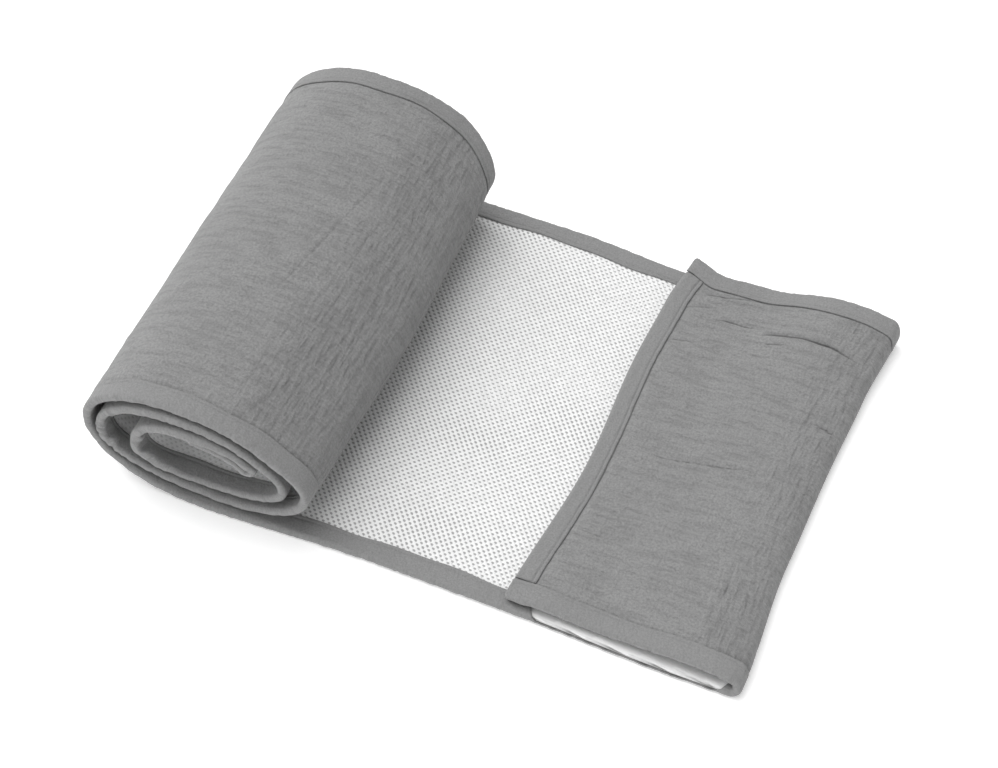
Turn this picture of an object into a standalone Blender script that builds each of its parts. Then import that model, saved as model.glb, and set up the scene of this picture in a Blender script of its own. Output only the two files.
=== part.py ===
"""Crib bumper: a long bound strip, loosely rolled at one end and folded back at the other.

The strip has crinkled muslin on one face and spacer mesh on the other, and a folded cotton
tape binds its four edges. It lies mesh side up on the floor. Its left part is rolled up,
muslin outside, and its right end is turned back over the floor layer as a flap.

Sizes here are in millimetres. A point of the strip is named by how far it lies along the
strip, from the flap's free end, how far across it, from the near edge, and how high above
the strip's middle surface, positive on the muslin side.
"""
import math
from collections import namedtuple

import bmesh
import bpy
from mathutils import Vector

MM = 0.001

# The strip and its layers
STRIP_WIDTH = 302.0
TAPE = 1.0                  # thickness of the binding tape
CLOTH_GAP = 0.3             # between two layers
EDGE_HALF = 2.95            # from the middle surface to either face of the bound edge
MUSLIN_BOUND = 1.0          # muslin inside the binding, pressed flat
MUSLIN_FREE = 1.5           # muslin between the bindings, puffed by its crinkles
MESH_BOUND = 2.0
MESH_FREE = 3.0
CLOTH_INSET = TAPE + CLOTH_GAP

# The binding tape, folded over an edge
LEG_WIDTH = 14.0            # cover of the tape on each face
LEG_SWAY = 1.1              # its stitched border wanders this much
SWAY_LENGTHS = (17.0, 7.3)  # in a long and a short sway, with these lengths per radian
SWAY_SHARE = 0.6            # and this share in the long one
BOUND_ZONE = 15.7           # the layers are pressed flat this far from an edge
PUFF_ZONE = 2.0             # and reach their full thickness over this width
RIM_ROUND = 1.6             # rounding of the bound edge
BEVEL_SHARE = 0.29          # a round corner drawn with one point between its ends
LIP_HEIGHT = 0.7            # where the tape is turned under its wall stops at this height
LIP_WIDTH = 1.1             # and its leg at this width
LIP_PROFILE = (             # the lip's lower side: distance in from the edge, rise
    (0.0, 0.25), (0.1, 0.1), (0.3, 0.0), (0.6, 0.0), (0.85, 0.1), (TAPE, 0.3),
)
UNDER_LEAD = 1.0            # the turning under starts this far before the fold's underside
UNDER_STOP = 4.0            # and is over this far before the free end of the flap
LEG_RAMP = 5.0              # the leg narrows over this length
WALL_RAMP = 3.0             # and the wall then drops over this one

# How the strip lies, seen from the near side: one row for each bend or stretch.
# x and z place the middle surface, and heading is the way it runs in degrees (0 right, -90
# down). skew moves its far edge to the right. shift moves it away from the viewer, and fan
# its far edge alone. The lifts raise its near and far edges.
Row = namedtuple("Row", "name x z heading skew shift fan near_lift far_lift")
LAY = (
    Row("flap_end", 101.5, 9.9, -2, 0.0, 1.5, 1.5, 0.3, 4.0),
    Row("flap_ripple", 126.0, 10.0, 0, 0.0, 1.5, -4.1, 2.0, 1.0),
    Row("flap_low", 158.0, 9.9, 1, 0.0, 1.0, -1.2, 0.3, 0.3),
    Row("flap_crown", 212.0, 11.2, 0, 0.0, 0.5, 1.6, 1.8, 8.5),
    Row("fold_top", 245.2, 10.1, -20, 0.0, -1.0, 2.5, 0.8, 6.3),
    Row("fold", 248.4, 6.6, -90, 0.0, -3.0, 2.5, 0.4, 3.4),
    Row("fold_under", 244.0, 2.95, -180, 0.0, -4.0, 1.5, 0.0, 0.0),
    Row("floor_flap", 205.0, 2.95, -180, 0.0, -4.5, 0.0, 0.0, 0.0),
    Row("floor_bound", 110.0, 2.95, -180, 0.0, -2.3, -1.2, 0.0, 0.0),
    Row("floor_open", 20.0, 2.95, -180, 0.0, -2.0, 4.0, 0.0, 0.0),
    Row("floor_end", -106.0, 2.95, -180, 0.0, -7.3, 9.3, 0.0, 0.0),
    Row("left_1", -179.6, 48.0, -270, -8.6, -6.0, -0.5, 0.0, 0.0),
    Row("top_1", -116.0, 88.5, -360, -9.0, -6.5, 5.0, 0.0, 0.0),
    Row("shoulder_1", -57.0, 72.5, -393, -8.0, -5.5, 7.5, 0.0, 0.0),
    Row("right_1", -30.0, 44.0, -450, -8.0, -5.0, -4.0, 0.0, 0.0),
    Row("bottom_2", -94.0, 10.0, -540, -9.5, -3.5, 0.0, 0.0, 0.0),
    Row("left_2", -170.7, 44.0, -630, -8.0, -6.5, 0.0, 0.0, 0.0),
    Row("top_2", -112.0, 80.8, -720, -9.5, -9.0, 0.0, 0.0, 0.0),
    Row("shoulder_2", -66.0, 66.3, -753, -9.5, -6.5, 0.0, 0.0, 0.0),
    Row("right_2", -46.0, 41.0, -810, -9.5, -4.0, 0.0, 0.0, 0.0),
    Row("bottom_3", -108.0, 17.4, -900, -9.5, -1.0, 0.0, 0.0, 0.0),
    Row("left_3", -145.0, 44.0, -990, -9.5, -9.0, 0.0, 0.0, 0.0),
    Row("top_3", -106.0, 73.2, -1080, -9.5, -12.0, 0.0, 0.0, 0.0),
    Row("shoulder_3", -66.8, 56.2, -1122, -9.5, -6.5, 0.0, 0.0, 0.0),
    Row("right_3", -65.3, 53.2, -1170, -9.5, -5.5, 0.0, 0.0, 0.0),
    Row("tuck", -71.0, 50.6, -1302, -9.5, -5.5, 0.0, 0.0, 0.0),
    Row("inner_end", -107.0, 65.0, -1266, -9.5, -8.0, 0.0, 0.0, 0.0),
)
NEAR_LIFT_WIDTH = 60.0      # the near lift fades out over this width
FAR_LIFT_FROM = 205.0       # and the far lift begins here
FIRST_ROLLED = "left_1"     # from this row on the strip is in the roll
ROLL_GROWTH = 0.09          # whose far end is this share taller

# Bows of the flap's free end, of the fold and of the roll's right side: x offsets at
# distances across the strip
Knot = namedtuple("Knot", "across offset")
END_BOW = (Knot(0.0, -1.7), Knot(110.0, 4.3), Knot(215.0, -1.5), Knot(260.0, -0.5),
           Knot(302.0, 4.0))
FOLD_BOW = (Knot(0.0, 2.6), Knot(100.0, -4.2), Knot(175.0, -5.2), Knot(240.0, -4.2),
            Knot(302.0, 0.0))
ROLL_BOW = (Knot(0.0, 0.0), Knot(150.0, 4.0), Knot(302.0, 0.0))

# How much of each bow a row takes; the other rows take none
Bowed = namedtuple("Bowed", "row end_share fold_share roll_share")
BOWED = (
    Bowed("flap_end", 1.0, 0.0, 0.0),
    Bowed("flap_ripple", 0.7, 0.1, 0.0),
    Bowed("flap_low", 0.35, 0.35, 0.0),
    Bowed("flap_crown", 0.0, 0.8, 0.0),
    Bowed("fold_top", 0.0, 1.0, 0.0),
    Bowed("fold", 0.0, 1.0, 0.0),
    Bowed("fold_under", 0.0, 1.0, 0.0),
    Bowed("floor_flap", 0.0, 0.4, 0.0),
    Bowed("shoulder_1", 0.0, 0.0, 0.8),
    Bowed("right_1", 0.0, 0.0, 1.0),
)

# How finely the solids follow the lay
STEP_LENGTH = 36.0          # a facet is no longer than this
STEP_TURN = 24.0            # and turns no more than this, in degrees
STATION_ROOM = 3.0
ARC_SAMPLES = 60            # per row, to measure the length along the strip
CROSS_LINES = (60.0, 110.0, 160.0, 205.0, 234.0, 260.0)

# Broad waves of the padded body between the bindings
WAVE_HEIGHT = 0.5
WAVE_ALONG = 71.0
WAVE_ACROSS = 118.0
WAVE_SLANT = 0.9
WAVE_SHARE = 0.6            # of the height in the waves along the strip
WAVE_FADE = 24.0

Corner = namedtuple("Corner", "vertex total")
Turn = namedtuple("Turn", "along inner_leg inner_wall")
Material = namedtuple("Material", "red green blue roughness")
MUSLIN_GREY = Material(0.25, 0.25, 0.255, 0.95)
MESH_WHITE = Material(0.86, 0.86, 0.86, 0.75)
TAPE_GREY = Material(0.28, 0.28, 0.285, 0.85)


def ease(share):
    """Smooth step from 0 to 1."""
    share = min(max(share, 0.0), 1.0)
    return share * share * (3.0 - 2.0 * share)


def row_index(name):
    """Place of a row in the lay."""
    return [row.name for row in LAY].index(name)


def bow(knots, across):
    """Offset of a bow at one distance from the near edge."""
    offset = knots[0].offset
    for here, there in zip(knots, knots[1:]):
        share = ease((across - here.across) / (there.across - here.across))
        offset += (there.offset - here.offset) * share
    return offset


def bow_offset(name, across):
    """How far the bows move one row of the lay."""
    for bowed in BOWED:
        if bowed.row == name:
            return (bowed.end_share * bow(END_BOW, across)
                    + bowed.fold_share * bow(FOLD_BOW, across)
                    + bowed.roll_share * bow(ROLL_BOW, across))
    return 0.0


def rows_at(across, bowed=True):
    """The rows of the lay as they are at one distance from the near edge."""
    near = ease(1.0 - across / NEAR_LIFT_WIDTH)
    far = ease((across - FAR_LIFT_FROM) / (STRIP_WIDTH - FAR_LIFT_FROM))
    depth = across / STRIP_WIDTH
    rows = []
    for index, row in enumerate(LAY):
        x = row.x + row.skew * depth
        if bowed:
            x += bow_offset(row.name, across)
        z = row.z + row.near_lift * near + row.far_lift * far
        if index >= row_index(FIRST_ROLLED):
            z *= 1.0 + ROLL_GROWTH * depth
        rows.append(row._replace(x=x, z=z, shift=row.shift + row.fan * depth))
    return rows


def direction(heading):
    """Unit vector, in x and z, of a heading in degrees."""
    angle = math.radians(heading)
    return Vector((math.cos(angle), math.sin(angle)))


def bend(row, following, share):
    """Middle surface between two rows: its place, its direction and its shift.

    The bend is a cubic whose handles are those of an elliptical arc of the same turn.
    """
    turn = math.radians(abs(following.heading - row.heading))
    reach = 1.0 / 3.0
    if turn > 0.001:
        reach = 4.0 / 3.0 * math.tan(turn / 4.0) / math.sin(turn)
    start = Vector((row.x, row.z))
    end = Vector((following.x, following.z))
    leaving = direction(row.heading)
    arriving = direction(following.heading)
    chord = end - start
    first = start + leaving * reach * chord.dot(leaving)
    second = end - arriving * reach * chord.dot(arriving)
    rest = 1.0 - share
    place = (start * rest ** 3 + first * 3.0 * rest ** 2 * share
             + second * 3.0 * rest * share ** 2 + end * share ** 3)
    slope = ((first - start) * rest ** 2 + (second - first) * 2.0 * rest * share
             + (end - second) * share ** 2)
    shift = row.shift + (following.shift - row.shift) * ease(share)
    return place, slope.normalized(), shift


def measure_strip():
    """Distance along the strip of many points, half way across it and without its bows."""
    rows = rows_at(STRIP_WIDTH / 2.0, bowed=False)
    marks = [(0.0, 0, 0.0)]
    before = Vector((rows[0].x, rows[0].z))
    along = 0.0
    for index in range(len(rows) - 1):
        for step in range(1, ARC_SAMPLES + 1):
            share = step / ARC_SAMPLES
            place = bend(rows[index], rows[index + 1], share)[0]
            along += (place - before).length
            before = place
            marks.append((along, index, share))
    return marks


MARKS = measure_strip()
STRIP_LENGTH = MARKS[-1][0]


def find(along):
    """Row and share of the bend after it for a distance along the strip."""
    low = 0
    high = len(MARKS) - 1
    while high - low > 1:
        middle = (low + high) // 2
        if MARKS[middle][0] <= along:
            low = middle
        else:
            high = middle
    (start, index, share), (end, next_index, next_share) = MARKS[low], MARKS[high]
    part = (along - start) / (end - start)
    if next_index != index:
        index = next_index
        share = 0.0
    return index, share + (next_share - share) * part


def along_at(name):
    """Distance along the strip of a row."""
    index = row_index(name)
    if index == 0:
        return 0.0
    return MARKS[index * ARC_SAMPLES][0]


class Strip:
    """Places points of the strip in space, keeping the rows worked out for each line."""

    def __init__(self):
        self.rows = {}

    def point(self, along, across, height):
        """World place, in metres, of a point of the strip."""
        if across not in self.rows:
            self.rows[across] = rows_at(across)
        rows = self.rows[across]
        index, share = find(along)
        place, slope, shift = bend(rows[index], rows[index + 1], share)
        x = place.x - slope.y * height
        z = place.y + slope.x * height
        return Vector((x, across + shift, z)) * MM


STRIP = Strip()


def even_stations():
    """Distances along the strip at even shares of its length and its turning."""
    start = BOUND_ZONE + PUFF_ZONE
    end = STRIP_LENGTH - start
    rows = rows_at(STRIP_WIDTH / 2.0)
    used = 0.0
    spent = []
    heading = None
    for along, index, share in MARKS:
        slope = bend(rows[index], rows[index + 1], share)[1]
        angle = math.atan2(slope.y, slope.x)
        if heading is not None:
            turned = abs((angle - heading + math.pi) % (2.0 * math.pi) - math.pi)
            used += (along - previous) / STEP_LENGTH + math.degrees(turned) / STEP_TURN
        heading = angle
        previous = along
        if start <= along <= end:
            spent.append((used, along))
    steps = math.ceil(spent[-1][0] - spent[0][0])
    share = (spent[-1][0] - spent[0][0]) / steps
    inner = []
    target = spent[0][0] + share
    for used, along in spent:
        if used >= target and len(inner) < steps - 1:
            inner.append(along)
            target += share
    return [start] + inner + [end]


def stations():
    """Lines of points along the strip, with those where the near tape is turned under."""
    turns = [row.along for row in turned_under()]
    kept = [line for line in even_stations()
            if min(abs(line - turn) for turn in turns) > STATION_ROOM]
    return sorted(kept + turns)


def cloth_stations():
    """Stations of the two layers, which stop inside the end bindings."""
    return ([CLOTH_INSET, BOUND_ZONE] + stations()
            + [STRIP_LENGTH - BOUND_ZONE, STRIP_LENGTH - CLOTH_INSET])


def cloth_lines():
    """Lines of points across the two layers."""
    near = [CLOTH_INSET, BOUND_ZONE, BOUND_ZONE + PUFF_ZONE]
    far = [STRIP_WIDTH - line for line in reversed(near)]
    return near + list(CROSS_LINES) + far


def edge_distance(along, across):
    """Distance to the nearest edge of the strip."""
    return min(across, STRIP_WIDTH - across, along, STRIP_LENGTH - along)


def puff(along, across):
    """0 where the binding presses the layers flat, 1 where they are free."""
    return 1.0 if edge_distance(along, across) > BOUND_ZONE + 0.01 else 0.0


def wave(along, across):
    """Broad unevenness of the pad, in the flap and the roll but not on the floor."""
    on_floor = along_at("fold_under") - WAVE_FADE <= along <= along_at("floor_end") + WAVE_FADE
    if on_floor or edge_distance(along, across) < BOUND_ZONE + PUFF_ZONE + STATION_ROOM:
        return 0.0
    first = math.sin(math.tau * along / WAVE_ALONG + WAVE_SLANT * math.sin(across / WAVE_ALONG))
    second = math.sin(math.tau * across / WAVE_ACROSS + along / WAVE_ACROSS)
    return WAVE_HEIGHT * (WAVE_SHARE * first + (1.0 - WAVE_SHARE) * second)


def muslin_top(along, across):
    """Outer face of the muslin."""
    bound = EDGE_HALF - TAPE - CLOTH_GAP
    share = puff(along, across)
    return bound + (EDGE_HALF - bound) * share + wave(along, across)


def muslin_bottom(along, across):
    """Face of the muslin towards the mesh."""
    share = puff(along, across)
    return muslin_top(along, across) - MUSLIN_BOUND - (MUSLIN_FREE - MUSLIN_BOUND) * share


def mesh_top(along, across):
    """Face of the mesh towards the muslin."""
    return muslin_bottom(along, across) - CLOTH_GAP


def mesh_bottom(along, across):
    """Outer face of the mesh."""
    share = puff(along, across)
    return mesh_top(along, across) - MESH_BOUND - (MESH_FREE - MESH_BOUND) * share


def finish(name, mesh, colour):
    """Link a finished mesh as an object with its material."""
    mesh.normal_update()
    data = bpy.data.meshes.new(name)
    mesh.to_mesh(data)
    mesh.free()
    part = bpy.data.objects.new(name, data)
    bpy.context.scene.collection.objects.link(part)
    material = bpy.data.materials.new(name + "_cloth")
    material.use_nodes = True
    shader = material.node_tree.nodes["Principled BSDF"]
    shader.inputs["Base Color"].default_value = (colour.red, colour.green, colour.blue, 1.0)
    shader.inputs["Roughness"].default_value = colour.roughness
    data.materials.append(material)
    data.shade_smooth()
    data.set_sharp_from_angle(angle=math.radians(35.0))
    return part


def corner(mesh, along, across, height):
    """A mesh point and the sum of its distances along and across the strip."""
    vertex = mesh.verts.new(STRIP.point(along, across, height))
    return Corner(vertex, along + across)


def quad(mesh, *corners):
    """Two triangles, split from the lowest sum so that neighbouring layers stay apart."""
    first = min(range(4), key=lambda index: corners[index].total)
    a, b, c, d = [corners[(first + step) % 4].vertex for step in range(4)]
    mesh.faces.new((a, b, c))
    mesh.faces.new((a, c, d))


def layer(name, top, bottom, colour):
    """One cloth layer, as a closed sheet between its top and bottom faces."""
    along_list = cloth_stations()
    across_list = cloth_lines()
    mesh = bmesh.new()
    upper = []
    lower = []
    for along in along_list:
        upper.append([corner(mesh, along, across, top(along, across))
                      for across in across_list])
        lower.append([corner(mesh, along, across, bottom(along, across))
                      for across in across_list])
    last = len(across_list) - 1
    for here in range(len(along_list) - 1):
        there = here + 1
        for line in range(last):
            beside = line + 1
            quad(mesh, upper[here][line], upper[there][line],
                 upper[there][beside], upper[here][beside])
            quad(mesh, lower[here][line], lower[here][beside],
                 lower[there][beside], lower[there][line])
        quad(mesh, lower[here][0], lower[there][0], upper[there][0], upper[here][0])
        quad(mesh, lower[there][last], lower[here][last], upper[here][last], upper[there][last])
    for line in range(last):
        beside = line + 1
        quad(mesh, lower[0][beside], lower[0][line], upper[0][line], upper[0][beside])
        quad(mesh, lower[-1][line], lower[-1][beside], upper[-1][beside], upper[-1][line])
    return finish(name, mesh, colour)


def leg_width(along):
    """Width of the tape on a face, where its stitched border wanders."""
    long_sway, short_sway = [math.sin(along / length) for length in SWAY_LENGTHS]
    return LEG_WIDTH + LEG_SWAY * (SWAY_SHARE * long_sway + (1.0 - SWAY_SHARE) * short_sway)


def tape_profile(width, inner_leg, inner_wall):
    """Section of a folded tape, as (distance in from the edge, height) pairs.

    inner_leg and inner_wall go from 1, the whole fold, to 0, where the leg on the mesh
    side is turned under and the wall is down to a low lip.
    """
    face = EDGE_HALF
    inside = EDGE_HALF - TAPE
    bevel = RIM_ROUND * BEVEL_SHARE
    leg = LIP_WIDTH + (width - LIP_WIDTH) * inner_leg
    rim = min(RIM_ROUND, leg - bevel)
    outer_side = [(width, face), (RIM_ROUND, face), (bevel, face - bevel),
                  (0.0, face - RIM_ROUND)]
    whole = [(0.0, RIM_ROUND - face), (bevel, bevel - face), (rim, -face), (leg, -face),
             (leg, -inside), (TAPE, -inside)]
    mesh_side = []
    for (lip_inset, rise), (inset, height) in zip(LIP_PROFILE, whole):
        lip_height = LIP_HEIGHT + rise
        mesh_side.append((lip_inset + (inset - lip_inset) * inner_wall,
                          lip_height + (height - lip_height) * inner_wall))
    return outer_side + mesh_side + [(TAPE, inside), (width, inside)]


def loft(name, rings, colour):
    """Closed solid through a row of rings of (along, across, height) points."""
    mesh = bmesh.new()
    loops = [[corner(mesh, *point) for point in ring] for ring in rings]
    count = len(loops[0])
    for here, there in zip(loops, loops[1:]):
        for index in range(count):
            beside = (index + 1) % count
            quad(mesh, here[index], here[beside], there[beside], there[index])
    start = mesh.faces.new([point.vertex for point in reversed(loops[0])])
    end = mesh.faces.new([point.vertex for point in loops[-1]])
    mesh.normal_update()
    bmesh.ops.triangulate(mesh, faces=[start, end], ngon_method="EAR_CLIP")
    bmesh.ops.recalc_face_normals(mesh, faces=mesh.faces)
    return finish(name, mesh, colour)


def turned_under():
    """Where the near tape is turned under: its leg goes first, then its wall."""
    start = along_at("fold_under") - UNDER_LEAD
    end = along_at("floor_bound") - UNDER_STOP
    return (
        Turn(start, 1.0, 1.0),
        Turn(start + LEG_RAMP, 0.0, 1.0),
        Turn(start + LEG_RAMP + WALL_RAMP, 0.0, 0.0),
        Turn(end - LEG_RAMP - WALL_RAMP, 0.0, 0.0),
        Turn(end - LEG_RAMP, 0.0, 1.0),
        Turn(end, 1.0, 1.0),
    )


def fold_shares(along):
    """Inner leg and inner wall of the near tape at one station."""
    for turn, following in zip(turned_under(), turned_under()[1:]):
        if turn.along <= along <= following.along:
            share = (along - turn.along) / (following.along - turn.along)
            inner_leg = turn.inner_leg + (following.inner_leg - turn.inner_leg) * share
            inner_wall = turn.inner_wall + (following.inner_wall - turn.inner_wall) * share
            return inner_leg, inner_wall
    return 1.0, 1.0


def long_binding(name, near):
    """Tape along one long edge, from end to end."""
    rings = []
    ends = [0.0, BOUND_ZONE], [STRIP_LENGTH - BOUND_ZONE, STRIP_LENGTH]
    for along in ends[0] + stations() + ends[1]:
        inner_leg, inner_wall = fold_shares(along) if near else (1.0, 1.0)
        ring = []
        for inset, height in tape_profile(leg_width(along), inner_leg, inner_wall):
            across = inset if near else STRIP_WIDTH - inset
            ring.append((along, round(across, 3), height))
        rings.append(ring)
    return loft(name, rings, TAPE_GREY)


def end_binding(name, at_flap):
    """Tape across one end, between the two long tapes."""
    margin = LEG_WIDTH + LEG_SWAY + CLOTH_GAP
    free = BOUND_ZONE + PUFF_ZONE
    lines = [margin, free] + list(CROSS_LINES) + [STRIP_WIDTH - free, STRIP_WIDTH - margin]
    rings = []
    for across in lines:
        ring = []
        for inset, height in tape_profile(LEG_WIDTH, 1.0, 1.0):
            along = inset if at_flap else STRIP_LENGTH - inset
            ring.append((along, across, height))
        rings.append(ring)
    return loft(name, rings, TAPE_GREY)


def centre_on_floor(parts):
    """Move all pieces so that the origin is under the middle of their common box."""
    points = [vertex.co for part in parts for vertex in part.data.vertices]
    middle = [(min(point[axis] for point in points) + max(point[axis] for point in points)) / 2.0
              for axis in (0, 1)]
    floor = min(point[2] for point in points)
    for part in parts:
        for vertex in part.data.vertices:
            vertex.co -= Vector((middle[0], middle[1], floor))


def main():
    """Clear the file and build the six sewn pieces."""
    for item in list(bpy.data.objects):
        bpy.data.objects.remove(item)
    parts = (
        layer("muslin_panel", muslin_top, muslin_bottom, MUSLIN_GREY),
        layer("mesh_panel", mesh_top, mesh_bottom, MESH_WHITE),
        long_binding("binding_near", True),
        long_binding("binding_far", False),
        end_binding("binding_flap_end", True),
        end_binding("binding_inner_end", False),
    )
    centre_on_floor(parts)


main()
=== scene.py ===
"""Looks of the crib bumper: crinkled muslin over spacer mesh, bound with cotton tape.

Every piece is laid out flat and then placed on the strip's lie, which is the same as the
part's: a point has a distance along the strip from the flap's free end, a distance across it
from the near edge, and a height above the middle surface, positive on the muslin side.
Sizes are in millimetres unless a name says otherwise, and the meshes are made in metres.
"""
import math
from collections import namedtuple

import bpy
import numpy as np
from mathutils import Matrix, Vector


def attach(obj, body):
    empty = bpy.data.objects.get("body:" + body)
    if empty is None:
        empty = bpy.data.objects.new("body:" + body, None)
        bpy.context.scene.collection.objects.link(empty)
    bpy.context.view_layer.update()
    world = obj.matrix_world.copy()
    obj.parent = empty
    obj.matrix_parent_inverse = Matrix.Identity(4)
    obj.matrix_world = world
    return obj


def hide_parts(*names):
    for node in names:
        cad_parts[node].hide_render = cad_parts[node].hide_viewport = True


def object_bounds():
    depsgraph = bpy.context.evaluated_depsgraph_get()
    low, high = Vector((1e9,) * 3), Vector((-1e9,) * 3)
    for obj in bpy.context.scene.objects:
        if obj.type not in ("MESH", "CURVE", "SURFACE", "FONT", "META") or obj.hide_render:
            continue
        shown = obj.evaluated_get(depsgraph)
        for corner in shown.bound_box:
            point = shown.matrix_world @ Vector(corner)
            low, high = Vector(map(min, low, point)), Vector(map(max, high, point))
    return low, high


MM = 0.001

# The strip and its layers, as in the part
STRIP_WIDTH = 302.0
TAPE = 1.0
CLOTH_GAP = 0.3
EDGE_HALF = 2.95
MUSLIN_BOUND = 1.0
MUSLIN_FREE = 1.5
MESH_BOUND = 2.0
MESH_FREE = 3.0
CLOTH_INSET = TAPE + CLOTH_GAP
LEG_WIDTH = 14.0
LEG_SWAY = 1.1
SWAY_LENGTHS = (17.0, 7.3)
SWAY_SHARE = 0.6
LIP_HEIGHT = 0.7
LIP_WIDTH = 1.1
LIP_PROFILE = ((0.0, 0.25), (0.1, 0.1), (0.3, 0.0), (0.6, 0.0), (0.85, 0.1), (TAPE, 0.3))
UNDER_LEAD = 1.0
UNDER_STOP = 4.0
LEG_RAMP = 5.0
WALL_RAMP = 3.0

# How the strip lies, as in the part: one row for each bend or stretch. Headings are in degrees
Row = namedtuple("Row", "name x z heading skew shift fan near_lift far_lift", defaults=(0.0, 0.0))
LAY = (
    Row("flap_end", 101.5, 9.9, -2, 0.0, 1.5, 1.5, 0.3, 4.0),
    Row("flap_ripple", 126.0, 10.0, 0, 0.0, 1.5, -4.1, 2.0, 1.0),
    Row("flap_low", 158.0, 9.9, 1, 0.0, 1.0, -1.2, 0.3, 0.3),
    Row("flap_crown", 212.0, 11.2, 0, 0.0, 0.5, 1.6, 1.8, 8.5),
    Row("fold_top", 245.2, 10.1, -20, 0.0, -1.0, 2.5, 0.8, 6.3),
    Row("fold", 248.4, 6.6, -90, 0.0, -3.0, 2.5, 0.4, 3.4),
    Row("fold_under", 244.0, 2.95, -180, 0.0, -4.0, 1.5),
    Row("floor_flap", 205.0, 2.95, -180, 0.0, -4.5, 0.0),
    Row("floor_bound", 110.0, 2.95, -180, 0.0, -2.3, -1.2),
    Row("floor_open", 20.0, 2.95, -180, 0.0, -2.0, 4.0),
    Row("floor_end", -106.0, 2.95, -180, 0.0, -7.3, 9.3),
    Row("left_1", -179.6, 48.0, -270, -8.6, -6.0, -0.5),
    Row("top_1", -116.0, 88.5, -360, -9.0, -6.5, 5.0),
    Row("shoulder_1", -57.0, 72.5, -393, -8.0, -5.5, 7.5),
    Row("right_1", -30.0, 44.0, -450, -8.0, -5.0, -4.0),
    Row("bottom_2", -94.0, 10.0, -540, -9.5, -3.5, 0.0),
    Row("left_2", -170.7, 44.0, -630, -8.0, -6.5, 0.0),
    Row("top_2", -112.0, 80.8, -720, -9.5, -9.0, 0.0),
    Row("shoulder_2", -66.0, 66.3, -753, -9.5, -6.5, 0.0),
    Row("right_2", -46.0, 41.0, -810, -9.5, -4.0, 0.0),
    Row("bottom_3", -108.0, 17.4, -900, -9.5, -1.0, 0.0),
    Row("left_3", -145.0, 44.0, -990, -9.5, -9.0, 0.0),
    Row("top_3", -106.0, 73.2, -1080, -9.5, -12.0, 0.0),
    Row("shoulder_3", -66.8, 56.2, -1122, -9.5, -6.5, 0.0),
    Row("right_3", -65.3, 53.2, -1170, -9.5, -5.5, 0.0),
    Row("tuck", -71.0, 50.6, -1302, -9.5, -5.5, 0.0),
    Row("inner_end", -107.0, 65.0, -1266, -9.5, -8.0, 0.0),
)
NEAR_LIFT_WIDTH = 60.0
FAR_LIFT_FROM = 205.0
FIRST_ROLLED = "left_1"
ROLL_GROWTH = 0.09
ARC_SAMPLES = 60
NO_TURN = 0.001             # in radians: a bend that turns less is taken as straight
ORIGIN_LINES = 13           # lines along the strip that its box is found from

# Bows of the flap's free end, of the fold and of the roll's right side, as in the part
Knot = namedtuple("Knot", "across offset")
END_BOW = (Knot(0.0, -1.7), Knot(110.0, 4.3), Knot(215.0, -1.5), Knot(260.0, -0.5),
           Knot(302.0, 4.0))
FOLD_BOW = (Knot(0.0, 2.6), Knot(100.0, -4.2), Knot(175.0, -5.2), Knot(240.0, -4.2),
            Knot(302.0, 0.0))
ROLL_BOW = (Knot(0.0, 0.0), Knot(150.0, 4.0), Knot(302.0, 0.0))
Bowed = namedtuple("Bowed", "row end_share fold_share roll_share")
BOWED = (
    Bowed("flap_end", 1.0, 0.0, 0.0),
    Bowed("flap_ripple", 0.7, 0.1, 0.0),
    Bowed("flap_low", 0.35, 0.35, 0.0),
    Bowed("flap_crown", 0.0, 0.8, 0.0),
    Bowed("fold_top", 0.0, 1.0, 0.0),
    Bowed("fold", 0.0, 1.0, 0.0),
    Bowed("fold_under", 0.0, 1.0, 0.0),
    Bowed("floor_flap", 0.0, 0.4, 0.0),
    Bowed("shoulder_1", 0.0, 0.0, 0.8),
    Bowed("right_1", 0.0, 0.0, 1.0),
)

# Broad waves of the padded body, as in the part
WAVE_HEIGHT = 0.5
WAVE_ALONG = 71.0
WAVE_ACROSS = 118.0
WAVE_SLANT = 0.9
WAVE_SHARE = 0.6
WAVE_FADE = 24.0

# Meshes: a long step where the cloth is plain, a short one where it shows
PLAIN_TURN = 12.0           # in degrees, the most that a facet turns where the cloth is plain
FINE_TURN = 7.0

# Camera, as fitted to the photograph's view
CAMERA_ELEVATION = 49.91974
CAMERA_AZIMUTH = 23.85568
CAMERA_ROLL = 0.21945
CAMERA_TARGET = (25.34, 161.72)     # on the floor, before the part is centred
CAMERA_DISTANCE = 1687.97
CAMERA_LENS = 93.788
CAMERA_SENSOR = 36.0


def ease(share):
    """Smooth step from 0 to 1."""
    share = np.clip(share, 0.0, 1.0)
    return share * share * (3.0 - 2.0 * share)


def mix(low, high, share):
    """Value between two others."""
    return low + (high - low) * share


# --- The strip's lie ---------------------------------------------------------------------

COLUMN = {field: np.array([getattr(row, field) for row in LAY], dtype=float)
          for field in Row._fields[1:]}
NAMES = [row.name for row in LAY]
BENDS = len(LAY) - 1
BOW_SHARES = np.zeros((len(LAY), 3))
for bowed in BOWED:
    BOW_SHARES[NAMES.index(bowed.row)] = bowed[1:]


def handle_reaches():
    """Share of the chord that each bend's handles take, as for an elliptical arc."""
    turns = np.radians(np.abs(np.diff(COLUMN["heading"])))
    bent = turns > NO_TURN
    safe = np.where(bent, turns, 1.0)
    return np.where(bent, 4.0 / 3.0 * np.tan(safe / 4.0) / np.sin(safe), 1.0 / 3.0)


REACHES = handle_reaches()


def bow(knots, across):
    """Offset of a bow at some distances from the near edge."""
    offset = np.full_like(across, knots[0].offset)
    for here, there in zip(knots, knots[1:]):
        share = ease((across - here.across) / (there.across - here.across))
        offset += (there.offset - here.offset) * share
    return offset


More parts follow.
